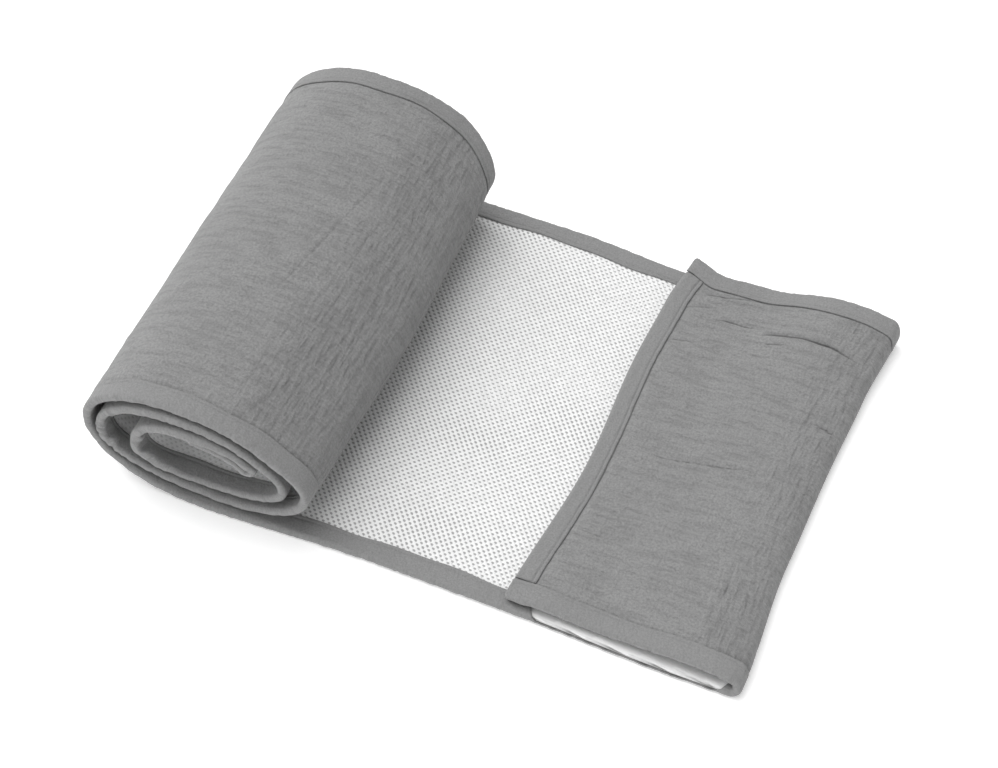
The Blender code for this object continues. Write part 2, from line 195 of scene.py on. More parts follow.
def row_place(index, across, bowed):
    """x and z of the rows of the lay at some distances across the strip."""
    near = ease(1.0 - across / NEAR_LIFT_WIDTH)
    far = ease((across - FAR_LIFT_FROM) / (STRIP_WIDTH - FAR_LIFT_FROM))
    depth = across / STRIP_WIDTH
    growth = (index >= NAMES.index(FIRST_ROLLED)) * ROLL_GROWTH * depth
    x = COLUMN["x"][index] + COLUMN["skew"][index] * depth
    if bowed:
        for share, knots in zip(BOW_SHARES[index].T, (END_BOW, FOLD_BOW, ROLL_BOW)):
            x += share * bow(knots, across)
    lift = COLUMN["near_lift"][index] * near + COLUMN["far_lift"][index] * far
    return np.stack([x, (COLUMN["z"][index] + lift) * (1.0 + growth)], axis=-1)


def row_shift(index, across):
    """How far the rows of the lay are moved away from the viewer."""
    return COLUMN["shift"][index] + COLUMN["fan"][index] * across / STRIP_WIDTH


def bend(index, share, across, bowed=True):
    """Middle surface: its place and direction in x and z, and its shift."""
    heading = np.radians(COLUMN["heading"])
    leaving = np.stack([np.cos(heading[index]), np.sin(heading[index])], axis=-1)
    arriving = np.stack([np.cos(heading[index + 1]), np.sin(heading[index + 1])], axis=-1)
    start = row_place(index, across, bowed)
    end = row_place(index + 1, across, bowed)
    reach = REACHES[index]
    first = start + leaving * (reach * ((end - start) * leaving).sum(axis=-1))[:, None]
    second = end - arriving * (reach * ((end - start) * arriving).sum(axis=-1))[:, None]
    done = share[:, None]
    rest = 1.0 - done
    place = (start * rest ** 3 + first * 3.0 * rest ** 2 * done
             + second * 3.0 * rest * done ** 2 + end * done ** 3)
    slope = ((first - start) * rest ** 2 + (second - first) * 2.0 * rest * done
             + (end - second) * done ** 2)
    slope /= np.linalg.norm(slope, axis=-1)[:, None]
    return place, slope, mix(row_shift(index, across), row_shift(index + 1, across), ease(share))


def measure_strip():
    """Lengths along the strip, half way across it and without its bows, and places there."""
    index = np.repeat(np.arange(BENDS), ARC_SAMPLES)
    share = np.tile(np.arange(1, ARC_SAMPLES + 1) / ARC_SAMPLES, BENDS)
    index = np.concatenate([[0], index])
    share = np.concatenate([[0.0], share])
    place, slope, _ = bend(index, share, np.full(len(index), STRIP_WIDTH / 2.0), bowed=False)
    steps = np.linalg.norm(np.diff(place, axis=0), axis=-1)
    turned = np.unwrap(np.arctan2(slope[:, 1], slope[:, 0]))
    turning = np.concatenate([[0.0], np.cumsum(np.abs(np.diff(turned)))])
    return np.concatenate([[0.0], np.cumsum(steps)]), index + share, np.degrees(turning)


MARK_ALONG, MARK_PLACE, MARK_TURNING = measure_strip()
STRIP_LENGTH = float(MARK_ALONG[-1])


def along_at(name):
    """Distance along the strip of a row."""
    return float(MARK_ALONG[NAMES.index(name) * ARC_SAMPLES])


def lie(along, across, height):
    """Places of points of the strip, before the part is centred."""
    place = np.interp(along, MARK_ALONG, MARK_PLACE)
    index = np.minimum(place.astype(int), BENDS - 1)
    middle, slope, shift = bend(index, place - index, across)
    x = middle[:, 0] - slope[:, 1] * height
    z = middle[:, 1] + slope[:, 0] * height
    return np.stack([x, across + shift, z], axis=-1)


def part_origin(cad_box):
    """How far the part was moved to stand on its own origin, found from its box."""
    lines = np.linspace(0.0, STRIP_WIDTH, ORIGIN_LINES)
    along = np.repeat(MARK_ALONG, len(lines))
    across = np.tile(lines, len(MARK_ALONG))
    points = np.concatenate([lie(along, across, side) for side in (-EDGE_HALF, EDGE_HALF)])
    middle = (points.min(axis=0) + points.max(axis=0)) / 2.0
    low, high = np.array(cad_box[0]), np.array(cad_box[1])
    origin = middle - (low + high) / 2.0 / MM
    return np.array([origin[0], origin[1], 0.0])


def lines_along(start, end, step, turn):
    """Even distances along the strip: no longer than a step, turning no more than an angle."""
    inside = (MARK_ALONG > start) & (MARK_ALONG < end)
    along = np.concatenate([[start], MARK_ALONG[inside], [end]])
    spent = along / step + np.interp(along, MARK_ALONG, MARK_TURNING) / turn
    count = max(int(math.ceil(spent[-1] - spent[0])), 1)
    return np.interp(np.linspace(spent[0], spent[-1], count + 1), spent, along)


# --- Unevenness --------------------------------------------------------------------------

NOISE_SIZE = 256
END_SWAYS = ((31.0, 0.6), (4.5, 0.3))   # an end tape's border: length and height of each sway
WAVE_FROM = 15.7            # the waves start this far from the strip's edge
WAVE_OVER = 9.0
PUFF_RISE = 2.6             # the cloth rises to its free height this far past the tape
PUFF_CROWN = 0.35           # and this much more, this far past the tape
CROWN_RISE = 30.0


def noise(u, v, seed):
    """Smooth random values from -1 to 1, with one bump to a unit."""
    table = np.random.default_rng(seed).uniform(-1.0, 1.0, (NOISE_SIZE, NOISE_SIZE))
    left = np.floor(u).astype(int)
    low = np.floor(v).astype(int)
    right_share = ease(u - left)
    high_share = ease(v - low)
    values = []
    for row in (low, low + 1):
        here = table[row % NOISE_SIZE, left % NOISE_SIZE]
        beside = table[row % NOISE_SIZE, (left + 1) % NOISE_SIZE]
        values.append(mix(here, beside, right_share))
    return mix(values[0], values[1], high_share)


def varied(swing, u, v, seed):
    """Smooth random strength of at most 1, and less by up to two swings."""
    return 1.0 - swing + swing * noise(u, v, seed)


def leg_width(along):
    """Width of a long tape on a face, where its stitched border wanders."""
    long_sway, short_sway = [np.sin(along / length) for length in SWAY_LENGTHS]
    return LEG_WIDTH + LEG_SWAY * (SWAY_SHARE * long_sway + (1.0 - SWAY_SHARE) * short_sway)


def end_sway(across, edge):
    """Wander of an end tape's stitched border."""
    seed = 101 if edge == "flap" else 103
    row = 0.0 * across + 0.5
    return sum(height * noise(across / length, row, seed + place)
               for place, (length, height) in enumerate(END_SWAYS))


def past_tape(along, across):
    """Distance of a point of the cloth from the nearest tape's border, inwards."""
    sides = np.minimum(across, STRIP_WIDTH - across) - leg_width(along)
    ends = np.minimum(along - end_sway(across, "flap"),
                      STRIP_LENGTH - along - end_sway(across, "inner")) - LEG_WIDTH
    return np.minimum(sides, ends)


def wave(along, across):
    """Broad unevenness of the pad, in the flap and the roll but not on the floor."""
    edge = np.minimum(np.minimum(across, STRIP_WIDTH - across),
                      np.minimum(along, STRIP_LENGTH - along))
    first = np.sin(math.tau * along / WAVE_ALONG + WAVE_SLANT * np.sin(across / WAVE_ALONG))
    second = np.sin(math.tau * across / WAVE_ACROSS + along / WAVE_ACROSS)
    height = WAVE_HEIGHT * (WAVE_SHARE * first + (1.0 - WAVE_SHARE) * second)
    return height * ease((edge - WAVE_FROM) / WAVE_OVER) * off_floor(along)


def off_floor(along):
    """1 in the flap and the roll, 0 where the strip lies flat on the floor."""
    before = ease((along_at("fold_under") - WAVE_FADE - along) / WAVE_FADE + 1.0)
    after = ease((along - along_at("floor_end") - WAVE_FADE) / WAVE_FADE)
    return np.maximum(before, after)


def freed(along, across):
    """0 where the tape holds the cloth down, 1 where the cloth is free."""
    return ease(past_tape(along, across) / PUFF_RISE)


def muslin_face(along, across):
    """Outer face of the muslin, without its crinkles."""
    height = mix(EDGE_HALF - TAPE - CLOTH_GAP, EDGE_HALF, freed(along, across))
    return height + wave(along, across)


def muslin_back(along, across):
    """Face of the muslin towards the mesh."""
    return muslin_face(along, across) - mix(MUSLIN_BOUND, MUSLIN_FREE, freed(along, across))


def mesh_inner(along, across):
    """Face of the mesh towards the muslin."""
    return muslin_back(along, across) - CLOTH_GAP


def mesh_face(along, across):
    """Outer face of the mesh."""
    return mesh_inner(along, across) - mix(MESH_BOUND, MESH_FREE, freed(along, across))


# Crinkles that are made as shapes: grooves at the zero lines of smooth noise. Each set has its
# pitch, how far a line runs, its depth, its width as a share of the noise, and how far it wanders
Crinkle = namedtuple("Crinkle", "pitch run depth width warp seed")
ALONG_CRINKLES = (
    Crinkle(5.4, 30.0, 0.20, 0.22, 1.2, 11),
    Crinkle(12.0, 52.0, 0.34, 0.15, 1.2, 12),
)
CROSS_CRINKLES = (
    Crinkle(4.9, 26.0, 0.24, 0.24, 1.2, 21),
    Crinkle(9.0, 46.0, 0.38, 0.17, 1.2, 22),
)
# Where the crosswise set takes over: start and end along the strip, the fade at each and how far
CrossZone = namedtuple("CrossZone", "start end fade strength")
CROSS_ZONES = (
    CrossZone(104.0, 176.0, 26.0, 0.8),
    CrossZone(700.0, 900.0, 70.0, 1.0),
)

# Creases, listed one by one: start, a point on the way and end, each along and across the strip
Crease = namedtuple("Crease", "start via end width depth")
CREASES = (
    Crease((65.7, 257.1), (100.1, 262.0), (146.0, 255.5), 1.5, 2.0),
    Crease((73.1, 252.7), (80.2, 252.7), (89.4, 253.6), 1.2, 1.2),
    Crease((17.0, 278.3), (36.9, 283.9), (61.3, 287.7), 1.4, 1.2),
    Crease((11.5, 262.3), (23.3, 268.3), (34.2, 271.5), 1.3, 0.9),
    Crease((32.8, 260.7), (48.0, 262.5), (68.5, 262.6), 1.3, 1.1),
    Crease((11.3, 229.3), (22.2, 236.1), (38.4, 236.2), 1.3, 0.9),
    Crease((28.4, 137.2), (67.3, 141.6), (116.3, 152.1), 1.4, 1.0),
    Crease((128.0, 201.6), (136.4, 199.6), (145.0, 199.0), 1.2, 1.2),
    Crease((14.2, 68.7), (28.9, 64.7), (48.7, 64.3), 1.4, 0.9),
    Crease((119.2, 83.5), (120.5, 65.6), (119.9, 46.7), 1.3, 0.7),
    Crease((729.7, 235.6), (717.4, 168.7), (701.0, 80.5), 0.9, 0.5),
    Crease((724.6, 58.2), (721.4, 41.8), (716.6, 25.3), 0.9, 0.4),
    Crease((735.3, 84.9), (737.0, 74.2), (738.3, 63.5), 0.9, 0.35),
    Crease((751.2, 136.3), (749.5, 107.4), (746.6, 79.6), 0.9, 0.45),
    Crease((760.5, 165.8), (762.4, 119.3), (759.5, 86.4), 0.9, 0.45),
    Crease((735.9, 36.5), (733.6, 26.9), (731.3, 17.2), 0.9, 0.4),
    Crease((713.0, 244.9), (711.5, 217.5), (709.8, 188.1), 0.9, 0.35),
    Crease((641.3, 265.5), (672.2, 257.0), (703.2, 260.9), 0.9, 0.4),
    Crease((652.2, 174.0), (683.5, 176.2), (713.6, 177.6), 0.9, 0.3),
    Crease((630.9, 142.6), (644.1, 139.9), (655.4, 138.9), 0.9, 0.3),
)
DRIFT_RUN = 1.4             # crinkles wander this many times as slowly as they run
CRINKLE_LEVEL = 0.75        # share of a groove's depth that is below the plain face
CRINKLE_SWING = 0.35        # their depth varies by this much, over these lengths
CRINKLE_PATCH = (40.0, 33.0)
CROSS_PATCH = (45.0, 38.0)  # the crosswise ones come in patches of this size
CROSS_LEAST = 0.45          # and take over this much between them, and this much more in them
CROSS_MORE = 0.75
GRID_SHARE = 0.6            # of the lengthwise crinkles stays where the crosswise ones lead
SEAM_FOLD = 2.7             # half the pitch of the small folds beside the seams
SEAM_FOLD_LENGTH = 13.0
SEAM_FOLD_HEIGHT = 0.45
SEAM_FOLD_REACH = 7.0
SWELLS = ((17.0, 15.0, 0.28, 41), (9.0, 8.0, 0.2, 42))  # lengths both ways, height and seed
CREASE_SAMPLES = 24
CREASE_FADE = 0.30          # share of its length over which a crease starts and ends
CREASE_SWING = 0.3
CREASE_REACH = 4.0          # in widths: further away a crease isn't felt
CREASE_LIP = 0.4            # share of the depth raised beside a crease, this many widths away
CREASE_LIP_AT = 2.1
CREASE_SWAY = 0.7           # how far a crease wanders to a side, this often along it
CREASE_SWAYS = 9.0
CREASE_SHADE_LINE = 0.6           # half width of the line of painted shade at the bottom of a crease
FAR_OFF = 1.0e6             # further than any point is from a crease


def crinkle_depth(rows, run_along, run_across):
    """Grooves of one set of crinkles, whose lines run along the first coordinate."""
    total = np.zeros_like(run_along)
    for row in rows:
        drift = row.warp * noise(run_along / row.run / DRIFT_RUN, run_across / row.run, row.seed)
        value = noise(run_along / row.run, run_across / row.pitch + drift, row.seed + 1)
        strength = varied(CRINKLE_SWING, run_along / CRINKLE_PATCH[0],
                          run_across / CRINKLE_PATCH[1], row.seed + 2)
        ridge = 1.0 - np.exp(-(value / row.width) ** 2)
        total += row.depth * strength * (ridge - CRINKLE_LEVEL)
    return total


def cross_share(along, across):
    """How far the crosswise crinkles take over, from 0 to 1."""
    share = np.zeros_like(along)
    for zone in CROSS_ZONES:
        inside = ease((along - zone.start) / zone.fade) * ease((zone.end - along) / zone.fade)
        share = np.maximum(share, zone.strength * inside)
    patch = varied(0.5, along / CROSS_PATCH[0], across / CROSS_PATCH[1], 31)
    return np.clip(share * (CROSS_LEAST + CROSS_MORE * patch), 0.0, 1.0)


def crease_field(along, across):
    """Depth of the listed creases, with low lips beside them, and the painted shade along them."""
    total = np.zeros_like(along)
    dark = np.zeros_like(along)
    for crease in CREASES:
        start, via, end = [np.array(point) for point in (crease.start, crease.via, crease.end)]
        share = np.linspace(0.0, 1.0, CREASE_SAMPLES)[:, None]
        control = 2.0 * via - (start + end) / 2.0
        path = mix(mix(start, control, share), mix(control, end, share), share)
        sway = noise(np.linspace(0.0, CREASE_SWAYS, CREASE_SAMPLES) + start[0], start[1], 41)
        aside = (end - start)[::-1] * (1.0, -1.0) / np.linalg.norm(end - start)
        path = path + CREASE_SWAY * sway[:, None] * aside
        low, high = [pick(path, axis=0) + side * crease.width * CREASE_REACH
                     for pick, side in ((np.min, -1.0), (np.max, 1.0))]
        near = np.flatnonzero((along > low[0]) & (along < high[0])
                              & (across > low[1]) & (across < high[1]))
        if not len(near):
            continue
        points = np.stack([along[near], across[near]], axis=-1)
        distance = np.full(len(near), FAR_OFF)
        done = np.zeros(len(near))
        for step, (here, there) in enumerate(zip(path, path[1:])):
            run = there - here
            part = np.clip(((points - here) @ run) / (run @ run), 0.0, 1.0)
            gap = np.linalg.norm(points - here - part[:, None] * run, axis=-1)
            closer = gap < distance
            distance = np.where(closer, gap, distance)
            done = np.where(closer, (step + part) / (CREASE_SAMPLES - 1), done)
        fade = ease(done / CREASE_FADE) * ease((1.0 - done) / CREASE_FADE)
        fade *= varied(CREASE_SWING, done * CREASE_SWAYS + start[1], start[0], 42)
        trough = np.exp(-(distance / crease.width) ** 2)
        lip = np.exp(-(distance / crease.width - CREASE_LIP_AT) ** 2)
        total[near] -= crease.depth * fade * (trough - CREASE_LIP * lip)
        # Painted shade: a dark line along the bottom of each crease
        line = crease.depth * fade * np.exp(-(distance / CREASE_SHADE_LINE) ** 2)
        dark[near] = np.maximum(dark[near], line)
    return total, dark


def seam_gathers(along, across):
    """Small folds that the seams draw into the cloth, square to them."""
    past = past_tape(along, across)
    by_end = np.minimum(along, STRIP_LENGTH - along) < np.minimum(across, STRIP_WIDTH - across)
    folds = np.where(by_end, noise(across / SEAM_FOLD, along / SEAM_FOLD_LENGTH, 51),
                     noise(along / SEAM_FOLD, across / SEAM_FOLD_LENGTH, 52))
    return SEAM_FOLD_HEIGHT * folds * np.exp(-np.maximum(past, 0.0) / SEAM_FOLD_REACH)


def muslin_relief(along, across):
    """Crinkles and creases of the muslin's outer face."""
    lengthwise = crinkle_depth(ALONG_CRINKLES, along, across)
    crosswise = crinkle_depth(CROSS_CRINKLES, across, along)
    raised = mix(lengthwise, crosswise + GRID_SHARE * lengthwise, cross_share(along, across))
    raised += seam_gathers(along, across)
    swell = sum(height * noise(along / length, across / width, seed)
                for length, width, height, seed in SWELLS)
    crown = PUFF_CROWN * ease(past_tape(along, across) / CROWN_RISE)
    loose = off_floor(along)
    raised += (swell + crown) * loose + crease_field(along, across)[0]
    return freed(along, across) * mix(np.minimum(raised, 0.0), raised, loose)


def muslin_outside(along, across):
    """Outer face of the muslin with its crinkles and creases."""
    return muslin_face(along, across) + muslin_relief(along, across)


PLAIN_MIDDLE = np.linspace(24.0, 278.0, 24)
NEAR_BORDER = np.array([12.4, 14.0, 15.2, 16.6, 18.4])
PLAIN_ACROSS = np.concatenate([[CLOTH_INSET], NEAR_BORDER, PLAIN_MIDDLE,
                               STRIP_WIDTH - NEAR_BORDER[::-1], [STRIP_WIDTH - CLOTH_INSET]])
BACK_MIDDLE = np.linspace(40.0, 262.0, 10)
BACK_ACROSS = np.concatenate([[CLOTH_INSET, 13.0, 16.0, 19.0, 26.0], BACK_MIDDLE,
                              [276.0, 283.0, 286.0, 289.0, STRIP_WIDTH - CLOTH_INSET]])


# --- Mesh building -----------------------------------------------------------------------

def corners(grid):
    """The four corners of each cell of a grid, in turn round it."""
    return grid[:-1, :-1], grid[1:, :-1], grid[1:, 1:], grid[:-1, 1:]


class Sheet:
    """Points of the strip and faces between them.

    outer_up is true where the piece's outer face is the one on the muslin side.
    """

    def __init__(self, outer_up=True):
        self.outer_up = outer_up
        self.points = np.zeros((0, 3))
        self.faces = []

    def add(self, along, across, height):
        """Add points and return their numbers, in the shape of the coordinates."""
        shape = np.shape(along)
        first = len(self.points)
        added = [np.broadcast_to(item, shape).ravel() for item in (along, across, height)]
        self.points = np.concatenate([self.points, np.stack(added, axis=-1)])
        return np.arange(first, len(self.points)).reshape(shape)

    def rows(self, lines, across, height_at):
        """Add a grid of points whose height is a function of their place."""
        along_grid, across_grid = np.meshgrid(lines, across, indexing="ij")
        height = height_at(along_grid.ravel(), across_grid.ravel()).reshape(along_grid.shape)
        return self.add(along_grid, across_grid, height)

    def put(self, ring, outer=True):
        """Add faces, whose corners run round them as seen from the muslin side."""
        faces = np.stack([np.ravel(corner) for corner in ring], axis=-1)
        if outer != self.outer_up:
            faces = faces[:, ::-1]
        self.faces.extend(faces.tolist())

    def grid(self, numbers, outer=True):
        """Faces over a grid of points."""
        self.put(corners(numbers), outer)

    def lace(self, first, second, axis):
        """Triangles between two rows of points that both rise along one coordinate."""
        here, there = 0, 0
        found = []
        while here < len(first) - 1 or there < len(second) - 1:
            ahead = self.points[first[here + 1], axis] if here < len(first) - 1 else math.inf
            beside = self.points[second[there + 1], axis] if there < len(second) - 1 else math.inf
            if ahead <= beside:
                found.append((first[here], second[there], first[here + 1]))
                here += 1
            else:
                found.append((first[here], second[there], second[there + 1]))
                there += 1
        self.put(np.array(found).T)

    def close(self, first, last, near, far, back):
        """Side walls between the four sides of the outer face and the grid of the back."""
        self.lace(back[0], first, 1)
        self.lace(last, back[-1], 1)
        self.lace(near, back[:, 0], 0)
        self.lace(back[:, -1], far, 0)

    def tube(self, rings):
        """A tube through closed rings of points, with a face at each end."""
        numbers = self.add(*[np.array(column) for column in zip(*rings)])
        beside = np.roll(numbers, -1, axis=1)
        self.put((numbers[:-1], beside[:-1], beside[1:], numbers[1:]))
        self.faces.append([int(number) for number in numbers[0][::-1]])
        self.faces.append([int(number) for number in numbers[-1]])

    def build(self, name, origin, pattern_and_shade=None):
        """Place the points on the strip's lie, but not under the floor, and make the object."""
        world = (lie(*self.points.T) - origin) * MM
        world[:, 2] = np.maximum(world[:, 2], 0.0)
        data = bpy.data.meshes.new(name)
        data.from_pydata(world.tolist(), [], self.faces)
        strip = data.attributes.new("strip", "FLOAT_VECTOR", "POINT")
        strip.data.foreach_set("vector", (self.points * MM).astype(np.float32).ravel())
        if pattern_and_shade is not None:
            layer = data.attributes.new("pattern_and_shade", "FLOAT_VECTOR", "POINT")
            layer.data.foreach_set("vector", pattern_and_shade.astype(np.float32).ravel())
        data.validate()
        data.update()
        data.shade_smooth()
        piece = bpy.data.objects.new(name, data)
        bpy.context.scene.collection.objects.link(piece)
        return piece


def add_back(sheet, height_at):
    """Plain back of a cloth, facing the other layer."""
    lines = [[CLOTH_INSET]]
    for start, end, step in BACK_STRETCHES:
        lines.append(lines_along(start, end, step, PLAIN_TURN)[1:])
    numbers = sheet.rows(np.concatenate(lines), BACK_ACROSS, height_at)
    sheet.grid(numbers, outer=False)
    return numbers


def fine_lines():
    """Lines across the fine cloth, with one deep under each tape."""
    lines = [[CLOTH_INSET, FINE_EDGE / 2.0]]
    for start, end, step in FINE_BANDS:
        lines.append(np.linspace(start, end, int(round((end - start) / step)) + 1)[:-1])
    lines.append(STRIP_WIDTH - np.array([FINE_EDGE, FINE_EDGE / 2.0, CLOTH_INSET]))
    return np.concatenate(lines)


FINE_EDGE = 12.4
# Bands across the fine cloth: start, end and step, closest over the flap's long crease
FINE_BANDS = ((FINE_EDGE, 250.0, 1.2), (250.0, 265.0, 0.68), (265.0, STRIP_WIDTH - FINE_EDGE, 1.2))
FLAP_DONE = along_at("fold_under") + 8.0
BACK_STRETCHES = (
    (CLOTH_INSET, along_at("fold_top"), 12.0),
    (along_at("fold_top"), FLAP_DONE, 3.0),
    (FLAP_DONE, along_at("floor_end") - 10.0, 30.0),
    (along_at("floor_end") - 10.0, STRIP_LENGTH - CLOTH_INSET, 10.0),
)

# Stretches of the muslin: fine where it shows
Stretch = namedtuple("Stretch", "start end step turn fine")
MUSLIN_STRETCHES = (
    Stretch(CLOTH_INSET, 104.0, 2.3, FINE_TURN, True),
    Stretch(104.0, FLAP_DONE, 1.5, FINE_TURN, True),
    Stretch(FLAP_DONE, 503.0, 26.0, PLAIN_TURN, False),
    Stretch(503.0, 606.0, 4.2, FINE_TURN, True),
    Stretch(606.0, 698.0, 2.3, FINE_TURN, True),
    Stretch(698.0, 770.0, 1.4, FINE_TURN, True),
    Stretch(770.0, 868.0, 2.0, FINE_TURN, True),
    Stretch(868.0, STRIP_LENGTH - CLOTH_INSET, 10.0, PLAIN_TURN, False),
)


def build_muslin(origin):
    """The muslin: a fine crinkled face where it shows, plain inside the roll."""
    sheet = Sheet(outer_up=True)
    rows = []
    for stretch in MUSLIN_STRETCHES:
        across = fine_lines() if stretch.fine else PLAIN_ACROSS
        lines = lines_along(stretch.start, stretch.end, stretch.step, stretch.turn)
        numbers = sheet.rows(lines[1:] if rows else lines, across, muslin_outside)
        sheet.grid(numbers)
        if rows:
            sheet.lace(rows[-1], numbers[0], 1)
        rows.extend(numbers)
    back = add_back(sheet, muslin_back)
    sheet.close(rows[0], rows[-1], [row[0] for row in rows], [row[-1] for row in rows], back)
    along, across = sheet.points[:, :2].T
    # The creases' painted shade and the crosswise crinkles' share, for the material
    pattern_and_shade = (crease_field(along, across)[1], cross_share(along, across), np.zeros_like(along))
    return sheet.build("muslin_cloth", origin, np.stack(pattern_and_shade, axis=-1))


# The spacer mesh's holes stand in a centred lattice, half a cell apart each way
CELL_ALONG = 4.22
CELL_ACROSS = 4.72
CELL_SKEW_ALONG = 0.028     # the lattice's columns drift this much along for each mm across
CELL_SKEW_ACROSS = 0.104    # and its rows this much across for each mm along
MESH_STEP = 9.0             # longest step along the mesh where it has no holes
HOLES_FROM = FLAP_DONE
HOLES_TO = 512.0
HOLE_ALONG = 0.98           # half the length of a hole along the strip, and across it
HOLE_ACROSS = 0.68
HOLE_DEPTH = 1.0
HOLE_SIDES = 6
HOLE_SPREAD = 0.12          # the radius varies by this share
HOLE_JITTER = 0.14
HOLE_LIP = 0.1              # a hole's rim stands this far inside the face
LATTICE_SWAY = 0.7          # the lattice wanders this much, over these lengths
LATTICE_LENGTHS = (41.0, 37.0)
UNDER_FLAP = 285.0          # up to here the flap covers the mesh, and no hole is made
INSIDE_HOLE_SHADE = 0.35          # how strongly the holes, with their painted shade, are drawn where they aren't made
HOLES_PAST_TAPE = -1.5      # no hole is made further in under the tape than this


def cell_places(along, across):
    """Place in the lattice, in whole cells, of points of the strip."""
    x = along - HOLES_FROM
    y = across - STRIP_WIDTH / 2.0
    square = 1.0 - CELL_SKEW_ALONG * CELL_SKEW_ACROSS
    first = (x - CELL_SKEW_ALONG * y) / square / CELL_ALONG
    second = (y - CELL_SKEW_ACROSS * x) / square / CELL_ACROSS
    return first, second


def lattice_grid():
    """Lattice of half cells over the stretch with holes: columns, lanes and places."""
    half_along, half_across = CELL_ALONG / 2.0, CELL_ACROSS / 2.0
    length = HOLES_TO - HOLES_FROM
    spare = int(STRIP_WIDTH / 2.0 * CELL_SKEW_ALONG / half_along) + 2
    drift = int(length * CELL_SKEW_ACROSS / half_across) + 2
    reach = int(STRIP_WIDTH / 2.0 / half_across) + 2
    column, lane = np.meshgrid(np.arange(-spare, int(length / half_along) + spare + 2),
                               np.arange(-reach - drift, reach + 2), indexing="ij")
    along = HOLES_FROM + column * half_along + CELL_SKEW_ALONG * lane * half_across
    across = STRIP_WIDTH / 2.0 + lane * half_across + CELL_SKEW_ACROSS * column * half_along
    places = along / LATTICE_LENGTHS[0], across / LATTICE_LENGTHS[1]
    sway = [LATTICE_SWAY * noise(*places, seed) for seed in (51, 52)]
    return column, lane, along + sway[0], across + sway[1]


def edge_chains(sheet, faces):
    """The four sides of a block of faces: start, end, near and far chains of points."""
    edges = np.concatenate([faces[:, [side, (side + 1) % 4]] for side in range(4)])
    known = set(map(tuple, edges.tolist()))
    following = {one: other for one, other in known if (other, one) not in known}
    members = np.array(sorted(following))
    along, across = sheet.points[members, :2].T
    turns = [members[np.argmax(reach)] for reach in
             (-along - across, along - across, along + across, across - along)]
    sides = []
    for corner, stop in zip(turns, turns[1:] + turns[:1]):
        chain = [int(corner)]
        while chain[-1] != stop:
            chain.append(following[chain[-1]])
        sides.append(chain)
    near, end, far, start = sides
    return start[::-1], end, near, far[::-1]


def lattice_zone(sheet):
    """Mesh face with its holes, as one block. Returns the chains round it."""
    column, lane, along, across = lattice_grid()
    inside = ((along > HOLES_FROM) & (along < HOLES_TO)
              & (across > CLOTH_INSET) & (across < STRIP_WIDTH - CLOTH_INSET))
    numbers = np.full(column.shape, -1)
    place = along[inside], across[inside]
    numbers[inside] = sheet.add(*place, mesh_face(*place))
    corner = corners(numbers)
    whole = np.all(corners(inside), axis=0)
    middle_along, middle_across = [(grid[:-1, :-1] + grid[1:, 1:]) / 2.0
                                   for grid in (along, across)]
    shows = middle_along > UNDER_FLAP
    free = past_tape(middle_along, middle_across) > HOLES_PAST_TAPE
    even = (column + lane)[:-1, :-1] % 2 == 0
    holed = whole & shows & free & even
    sheet.put([item[whole & ~holed] for item in corner])
    add_holes(sheet, [item[holed] for item in corner], middle_along[holed], middle_across[holed])
    return edge_chains(sheet, np.stack([item[whole] for item in corner], axis=-1))


def add_holes(sheet, corner, along, across):
    """An oval hole with a conical floor in each of some cells."""
    draw = np.random.default_rng(61)
    along = along + HOLE_JITTER * draw.uniform(-1.0, 1.0, len(along))
    across = across + HOLE_JITTER * draw.uniform(-1.0, 1.0, len(along))
    size = 1.0 + HOLE_SPREAD * draw.uniform(-1.0, 1.0, len(along))
    rim = []
    for side in range(HOLE_SIDES):
        angle = math.tau * side / HOLE_SIDES
        x = along + size * HOLE_ALONG * math.cos(angle)
        y = across + size * HOLE_ACROSS * math.sin(angle)
        rim.append(sheet.add(x, y, mesh_face(x, y) + HOLE_LIP))
    floor = sheet.add(along, across, mesh_face(along, across) + HOLE_DEPTH)
    low, right, high, left = corner
    ring = (
        (rim[0], high, rim[1]), (rim[1], left, rim[2]), (rim[2], left, rim[3]),
        (rim[3], low, rim[4]), (rim[4], low, rim[5]), (rim[5], right, rim[0]),
        (high, left, rim[1]), (left, low, rim[3]), (low, right, rim[5]), (right, high, rim[0]),
    )
    for face in ring:
        sheet.put(face)
    for side in range(HOLE_SIDES):
        sheet.put((rim[side], rim[(side + 1) % HOLE_SIDES], floor))


def build_mesh(origin):
    """The spacer mesh: holes where it lies open, plain where it is rolled or covered."""
    sheet = Sheet(outer_up=False)
    flap = sheet.rows(lines_along(CLOTH_INSET, HOLES_FROM, MESH_STEP, PLAIN_TURN)[:-1],
                      PLAIN_ACROSS, mesh_face)
    sheet.grid(flap)
    first, last, near, far = lattice_zone(sheet)
    sheet.lace(flap[-1], first, 1)
    roll = sheet.rows(lines_along(HOLES_TO, STRIP_LENGTH - CLOTH_INSET, MESH_STEP,
                                  PLAIN_TURN)[1:], PLAIN_ACROSS, mesh_face)
    sheet.grid(roll)
    sheet.lace(last, roll[0], 1)
    near, far = [np.concatenate([flap[:, side], middle, roll[:, side]])
                 for side, middle in ((0, near), (-1, far))]
    sheet.close(flap[0], roll[-1], near, far, add_back(sheet, mesh_inner))
    along, across = sheet.points[:, :2].T
    # Share of the holes' painted shade and bump: none under the flap, full where holes are made,
    # less in the roll
    hole_shade_share = np.where(along < UNDER_FLAP, 0.0, np.where(along < HOLES_TO, 1.0, INSIDE_HOLE_SHADE))
    return sheet.build("mesh_cloth", origin, np.stack([*cell_places(along, across), hole_shade_share], axis=-1))


# --- Binding tape ------------------------------------------------------------------------

